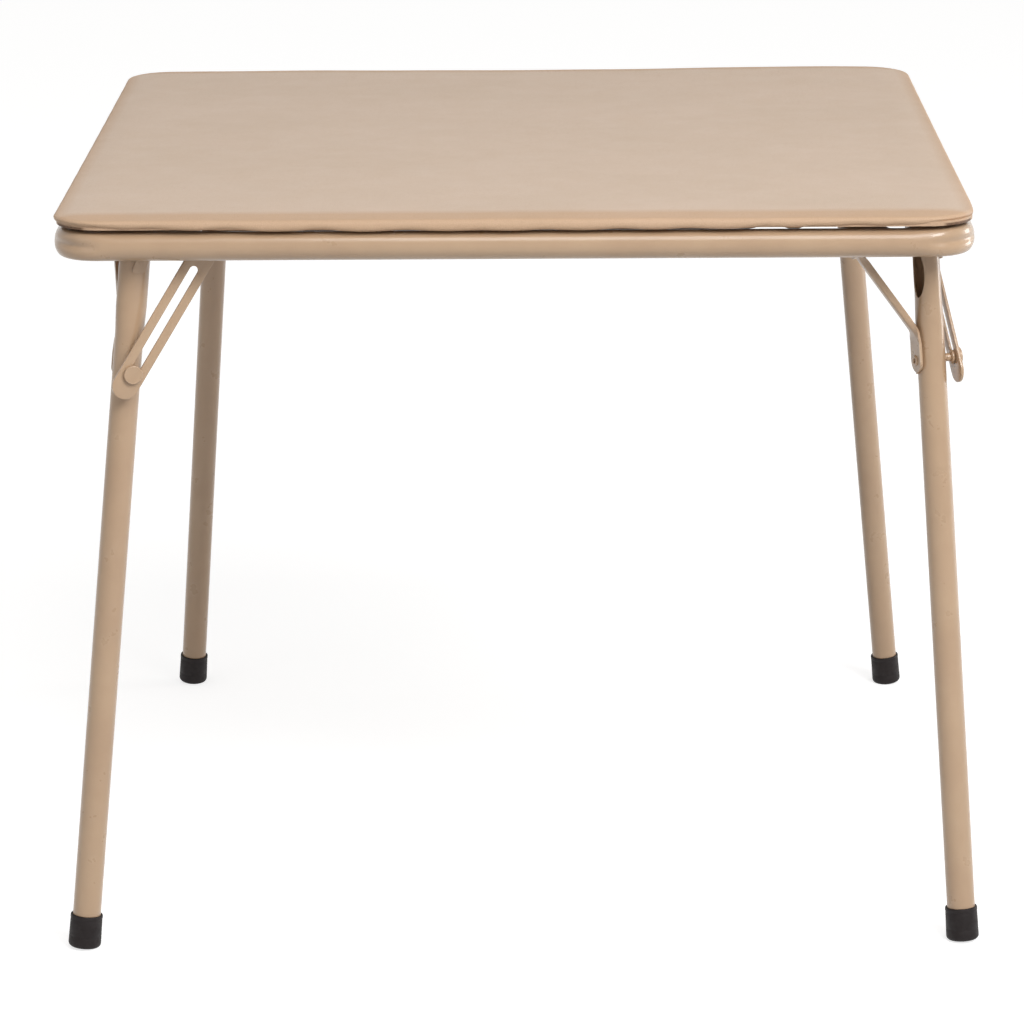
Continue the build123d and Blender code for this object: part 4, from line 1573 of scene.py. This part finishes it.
@dataclass
class LegParts:
    """A leg tube, its cap, strut, rivet, brace and pin, built for the front right corner and turned."""

    corner: Corner
    wall: float = 0.001
    top: float = 0.005
    top_round: float = 0.0003
    oval: Span = (0.0087, 0.0103)
    oval_end: float = -0.034
    squeeze_end: float = -0.058
    window_depths: Span = (-0.0035, -0.014)
    window_size: Span = (0.0062, 0.0160)
    window_height: float = -0.0220
    window_turn: float = math.radians(19.0)
    cap_floor: float = 0.003
    cap_height: float = 0.023
    cap_foot: float = 0.0111
    cap_rim: float = 0.0108
    cap_round: float = 0.003
    cap_sole: tuple[Span, ...] = ((0.0, 0.0), (0.0040, 0.0), (0.0070, 0.0), (0.0084, 0.0001))
    cap_lines: tuple[Span, ...] = (
        (0.0075, 0.00002), (0.0078, -0.00014), (0.0082, -0.00014), (0.0085, 0.00002), (0.014, 0.0),
        (0.0195, 0.0), (0.0198, -0.00012), (0.0202, -0.00012), (0.0205, 0.00012), (0.0222, 0.00014))
    strip_width: float = 0.018
    strip_half: float = 0.0009
    strip_flat: float = 0.0026
    strip_bend: float = 0.0016
    foot_width: float = 0.0160
    head_width: float = 0.0122
    strut_reach: float = 0.048
    strut_bend: float = -0.0635
    strut_top: float = -0.0065
    strut_end: float = 0.008
    strut_ease: float = 0.0055
    fold_start: Span = (-0.066, -0.052)
    fold_end: Span = (-0.012, -0.004)
    narrow_span: Span = (-0.072, -0.050)
    bore: tuple[Span, ...] = ((0.0, 0.009), (0.0014, 0.0086), (0.0016, 0.0078), (0.0016, -0.0004))
    rolled: Span = (0.00265, 0.00105)
    brace_thick: float = 0.002
    brace_tail: float = 0.018
    slot_start: float = 0.023
    slot_half: float = 0.003
    pin_radius: float = 0.0027
    pin_edge: float = 0.0003
    collar: tuple[Span, ...] = ((0.0034, -0.0024), (0.0044, -0.0022), (0.0049, -0.0019), (0.005, -0.0015),
                                (0.005, -0.0007), (0.0047, -0.0003))
    head_low: Span = (0.0059, 0.0023)
    head_rim: Span = (0.0057, 0.0041)
    head_round: float = 0.0006
    head_face: tuple[Span, ...] = ((0.0050, 0.00468), (0.0044, 0.0046), (0.0, 0.00466))

    @property
    def places(self) -> HingePlaces:
        """Where this corner's hinge stands."""
        return hinge_of(self.corner)

    def placed(self, made: Object, place: Matrix) -> Object:
        """Moves a piece from one of the front right corner's frames to this corner.

        Args:
            made: the piece.
            place: the frame it was built in.

        Returns:
            The same piece.
        """
        made.data.transform(self.corner.turn @ place)
        return made

    def leg_ring(self, height: float, draw_in: float) -> Ring:
        """One section of the leg: round low down and squeezed oval at the top.

        Args:
            height: where it lies, up the leg from the hinge.
            draw_in: how far it is drawn in from the outside.

        Returns:
            The section.
        """
        share = smooth_step(height, self.squeeze_end, self.oval_end)
        across, along = (TUBE_RADIUS + (half - TUBE_RADIUS) * share - draw_in for half in self.oval)
        return [Vector((across * math.cos(a), along * math.sin(a), height)) for a in steps(2 * math.pi, 72)]

    def leg(self, name: str) -> Object:
        """The leg tube with its wall, its rounded top edge and the opening on its inboard side.

        Args:
            name: the piece's name.

        Returns:
            The piece.
        """
        low = -self.places.cap_bottom + self.cap_floor + CLEARANCE
        stops = np.concatenate([np.linspace(low, self.squeeze_end, 26),
                                np.linspace(self.squeeze_end, self.oval_end, 12)[1:],
                                np.linspace(self.oval_end, self.top - self.top_round, 18)[1:]])
        rings = [self.leg_ring(z, 0.0) for z in stops]
        rings += [self.leg_ring(self.top, self.top_round), self.leg_ring(self.top, self.wall - 0.0002)]
        rings += [self.leg_ring(z, self.wall) for z in stops[::-1]]
        made = MeshShop.finish(MeshShop.loft(name, rings, closed_run=True))
        MeshShop.cut(made, self.window())
        return MeshShop.finish(self.placed(made, self.places.leg), sharp=42.0)

    def window(self) -> Object:
        """The shape that cuts the opening near the leg's top: a long oval, turned a little to the front."""
        wide, tall = self.window_size
        rings = [[Vector((depth, wide * math.cos(a), self.window_height + tall * math.sin(a)))
                  for a in steps(2 * math.pi, 40)] for depth in self.window_depths]
        made = MeshShop.finish(MeshShop.loft("opening", rings, capped=True))
        made.data.transform(Matrix.Rotation(self.window_turn, 4, "Z"))
        return made

    def cap(self, name: str) -> Object:
        """The rubber cap: rounded foot, faint mould lines and a lip, pressed flat where it stands.

        Args:
            name: the piece's name.

        Returns:
            The piece.
        """
        low, high = -self.places.cap_bottom, -self.places.cap_bottom + self.cap_height
        foot, rim, edge, inside = self.cap_foot, self.cap_rim, self.cap_round, TUBE_RADIUS + 0.0001
        profile = [(radius, low + height) for radius, height in self.cap_sole]
        profile += [(foot - edge + edge * math.sin(a), low + edge - edge * math.cos(a))
                    for a in steps(QUARTER, 8, True)[1:]]
        profile += [(foot + (rim - foot) * (height / self.cap_height) + proud, low + height)
                    for height, proud in self.cap_lines]
        profile += [(rim - 0.0002, high - 0.0001), (rim - 0.0006, high), (inside + 0.0003, high),
                    (inside, high - 0.0004), (inside, low + self.cap_floor), (0.0, low + self.cap_floor)]
        made = MeshShop.revolve(name, profile, self.corner.turn @ self.places.leg, 64)
        for vertex in made.data.vertices:
            vertex.co.z = max(vertex.co.z, 0.0)
        return MeshShop.finish(made, sharp=50.0)

    def strut_line(self) -> list[tuple[Vector, Vector]]:
        """The strut's middle line and its way along, from its foot up, with round bends."""
        x_leg = -TUBE_RADIUS - CLEARANCE - self.strip_half
        x_top = -self.strut_reach - self.strip_half
        stops = [Vector((x, 0, z)) for x, z in (
            (x_leg, -self.places.pin_drop - self.strip_width / 2), (x_leg, self.strut_bend),
            (x_top, self.strut_top), (x_top, self.strut_end))]
        line: list[tuple[Vector, Vector]] = []
        before = stops[0]
        for knee, after, count in ((stops[1], stops[2], 34), (stops[2], stops[3], 44)):
            enter = knee + (before - knee).normalized() * self.strut_ease
            leave = knee + (after - knee).normalized() * self.strut_ease
            line += [(before.lerp(enter, t), (enter - before).normalized()) for t in steps(1.0, count)]
            for t in steps(1.0, 8):
                spot = enter * (1 - t) ** 2 + knee * 2 * t * (1 - t) + leave * t * t
                line.append((spot, ((knee - enter) * (1 - t) + (leave - knee) * t).normalized()))
            before = leave
        return line + [(before.lerp(stops[3], t), (stops[3] - before).normalized()) for t in steps(1.0, 26, True)]

    def strut_section(self, spot: Vector, way: Vector, half: float, fold: float) -> Ring:
        """One section of the strut: a strip with its sides folded up.

        Args:
            spot: the section's middle.
            way: the way along the strut.
            half: half the strip's width.
            fold: how far the sides are folded, as a share of a right angle.

        Returns:
            The section.
        """
        inner = Vector((way.z, 0, -way.x))
        turn = fold * QUARTER
        scale = min(1.0, half / (self.strip_width / 2))
        flat, bend = self.strip_flat * scale, self.strip_bend * scale
        arm = [(flat * u, 0.0, 0.0) for u in (0.0, 0.5, 1.0)]
        for i in range(1, 6):
            a = turn * i / 5
            arm.append((flat + bend * math.sin(a) + (1 - fold) * bend * QUARTER * i / 5, bend * (1 - math.cos(a)), a))
        x, n, a = arm[-1]
        reach = half - flat - bend * QUARTER
        arm += [(x + reach * u * math.cos(turn), n + reach * u * math.sin(turn), turn) for u in (0.34, 0.68, 1.0)]
        upper, lower = [], []
        for across, raised, lean in [(-x, n, -a) for x, n, a in arm[::-1]] + arm[1:]:
            middle = spot + Y_WAY * across + inner * raised
            thick = (inner * math.cos(lean) - Y_WAY * math.sin(lean)) * self.strip_half
            upper.append(middle + thick)
            lower.append(middle - thick)
        return upper + lower[::-1]

    def strut(self, name: str) -> Object:
        """The strut: a strip pressed into a channel between its bends, flat and round at both ends.

        Args:
            name: the piece's name.

        Returns:
            The piece.
        """
        foot_middle, foot_half, head_half = -self.places.pin_drop, self.foot_width / 2, self.head_width / 2
        rings = []
        for spot, way in self.strut_line():
            fold = smooth_step(spot.z, *self.fold_start) * (1 - smooth_step(spot.z, *self.fold_end))
            half = foot_half + (head_half - foot_half) * smooth_step(spot.z, *self.narrow_span)
            if spot.z < foot_middle:
                half = math.sqrt(max(1e-8, foot_half ** 2 - (foot_middle - spot.z) ** 2))
            if spot.z > 0.0:
                half = math.sqrt(max(1e-8, head_half ** 2 - spot.z ** 2))
            rings.append(self.strut_section(spot, way, max(half, 0.0004), fold))
        made = MeshShop.finish(MeshShop.loft(name, rings, capped=True), merge=1e-7)
        return self.placed(MeshShop.bevelled(made, 0.00035, 2, 50.0), self.places.leg)

    def strut_rivet(self, name: str) -> Object:
        """The tubular rivet through the strut's foot, with a rolled rim and an open bore.

        Args:
            name: the piece's name.

        Returns:
            The piece.
        """
        start = -TUBE_RADIUS - 2 * CLEARANCE - 2 * self.strip_half
        end, (middle, reach) = TUBE_RADIUS + 0.00045, self.rolled
        profile = [(radius, start + height) for radius, height in self.bore]
        profile += [(middle - reach * math.cos(a), start - 0.0002 - 0.0009 * math.sin(a))
                    for a in steps(math.pi, 8, True)]
        profile += [(middle + reach, start), (self.pin_radius, start), (self.pin_radius, end), (0.0, end)]
        lying = Matrix.Translation((0, 0, -self.places.pin_drop)) @ Matrix.Rotation(QUARTER, 4, "Y")
        return MeshShop.revolve(name, profile, self.corner.turn @ self.places.leg @ lying, 32)

    def brace(self, name: str) -> Object:
        """The slotted brace: a flat bar with round ends, a long slot and rounded edges.

        Args:
            name: the piece's name.

        Returns:
            The piece.
        """
        span, half = self.places.pin_run.length, self.strip_width / 2
        outer, inner = [], []

        def side(start: float, stop: float, y: int) -> None:
            """Adds matched points along one side, outside and in the slot."""
            for run in steps(stop - start, 24):
                outer.append((start + run, y * half))
                inner.append((start + run, y * self.slot_half))

        def end(centre: float, slot_centre: float, way: int) -> None:
            """Adds matched points round one end, outside and in the slot."""
            straight, bend = abs(centre - slot_centre), math.pi * half
            for t in steps(1.0, 40):
                run = t * (2 * straight + bend)
                a = min(max(run - straight, 0.0), bend) / half
                if run < straight:
                    outer.append((slot_centre + way * run, way * half))
                elif run < straight + bend:
                    outer.append((centre + way * half * math.sin(a), way * half * math.cos(a)))
                else:
                    outer.append((centre - way * (run - straight - bend), -way * half))
                a = math.pi * t
                inner.append((slot_centre + way * self.slot_half * math.sin(a), way * self.slot_half * math.cos(a)))

        side(self.slot_start, span, 1)
        end(span + self.brace_tail - half, span, 1)
        side(span, self.slot_start, -1)
        end(0.0, self.slot_start, -1)
        rings = [[Vector((x, y, z)) for x, y in loop] for loop, z in (
            (outer, 0.0), (outer, self.brace_thick), (inner, self.brace_thick), (inner, 0.0))]
        made = MeshShop.finish(MeshShop.loft(name, rings, closed_run=True), merge=1e-7)
        return self.placed(MeshShop.bevelled(made, 0.0004, 3, 60.0), self.places.brace)

    def pin(self, name: str) -> Object:
        """The lock pin: shank, collar against the brace and a flat head with a rounded edge.

        Args:
            name: the piece's name.

        Returns:
            The piece.
        """
        low = TUBE_RADIUS + 0.0005 - self.places.brace_face
        r, edge, (rim, rim_height) = self.pin_radius, self.pin_edge, self.head_rim
        profile = [(0.0, low), (r - edge, low), (r, low + edge), (r, -0.0027), *self.collar,
                   (r, -edge), (r, self.head_low[1]), self.head_low]
        profile += [(rim + self.head_round * math.cos(a), rim_height + self.head_round * math.sin(a))
                    for a in steps(QUARTER, 6, True)]
        profile += self.head_face
        place = self.places.brace @ Matrix.Translation((self.places.pin_run.length, 0, 0))
        return MeshShop.revolve(name, profile, self.corner.turn @ place, 48)

    def build(self, paint: Graph, rubber: Graph) -> None:
        """Builds this corner's moving parts.

        Args:
            paint: the enamel.
            rubber: the cap's rubber.
        """
        makers: tuple[tuple[str, Callable[[str], Object], str, Slot, str], ...] = (
            ("leg", self.leg, "leg", Slot.PAINT, "leg_tube"),
            ("foot_cap", self.cap, "leg", Slot.RUBBER, "leg_cap"),
            ("pressed_strut", self.strut, "leg", Slot.PAINT, "leg_strut"),
            ("tubular_rivet", self.strut_rivet, "leg", Slot.PAINT, "strut_rivet"),
            ("slotted_brace", self.brace, "brace", Slot.PAINT, "lock_brace"),
            ("headed_pin", self.pin, "pin", Slot.PAINT, "lock_pin"),
        )
        corner = self.corner.label
        for label, maker, body, slot, node in makers:
            finish = rubber if slot is Slot.RUBBER else paint
            hand_over(maker(f"{corner}_{label}"), finish, slot, f"{corner}_{body}", f"{corner}_{node}")


@dataclass
class FixedPlates:
    """The sheet-metal brackets and lugs, and the board, which keep the CAD's shapes."""

    edge: float = 0.0003
    low_edge: float = -0.0115
    raised_edge: float = -0.0040
    tongue_below: float = 0.002
    tongue_scale: float = 0.45
    tongue_shift: float = 0.0028

    def trimmed(self, made: Object, corner: Corner) -> None:
        """Draws the bracket's low edges up behind the rail and its tongue in under the leg's width.

        Args:
            made: the bracket.
            corner: where it stands.
        """
        frame = corner.turn @ hinge_of(corner).hinge
        back = frame.inverted()
        for vertex in made.data.vertices:
            spot = back @ vertex.co
            if spot.z < self.low_edge:
                if spot.z < self.low_edge - self.tongue_below:
                    spot.y -= self.tongue_shift
                spot.z = self.raised_edge + (spot.z - self.low_edge) * self.tongue_scale
                vertex.co = frame @ spot

    def build(self, nodes: dict[str, Object], paint: Graph, board: Graph) -> None:
        """Rounds the plates' edges and dresses them and the board.

        Args:
            nodes: the CAD nodes by name.
            paint: the enamel.
            board: the hardboard.
        """
        kinds = (("leg_bracket", "bent_bracket"), ("strut_tab", "strut_lug"), ("brace_tab", "brace_lug"))
        for corner in Corner:
            for kind, label in kinds:
                node = f"{corner.label}_{kind}"
                made = MeshShop.softened(f"{corner.label}_{label}", nodes[node], self.edge)
                if kind == "leg_bracket":
                    self.trimmed(made, corner)
                hand_over(made, paint, Slot.PAINT, TOP_BODY, node)
        board.dress(nodes["top_board"])


def main() -> None:
    """Builds the table in order and reports each piece."""
    logging.basicConfig(level=logging.INFO, format="%(message)s")
    for thing in list(bpy.data.objects):
        bpy.data.objects.remove(thing)
    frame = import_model()
    Studio().build()
    paint, vinyl = PaintedSteel().build(), PaddedVinyl().build()
    rubber, board, zinc = MouldedRubber().build(), PressedBoard().build(), ZincSteel().build()
    FrameTube().build(paint)
    PaddedTop().build(vinyl)
    for corner in Corner:
        LegParts(corner).build(paint, rubber)
    FixedPlates().build(frame["nodes"], paint, board)
    Fasteners().build(paint, zinc)


if __name__ == "__main__":
    main()
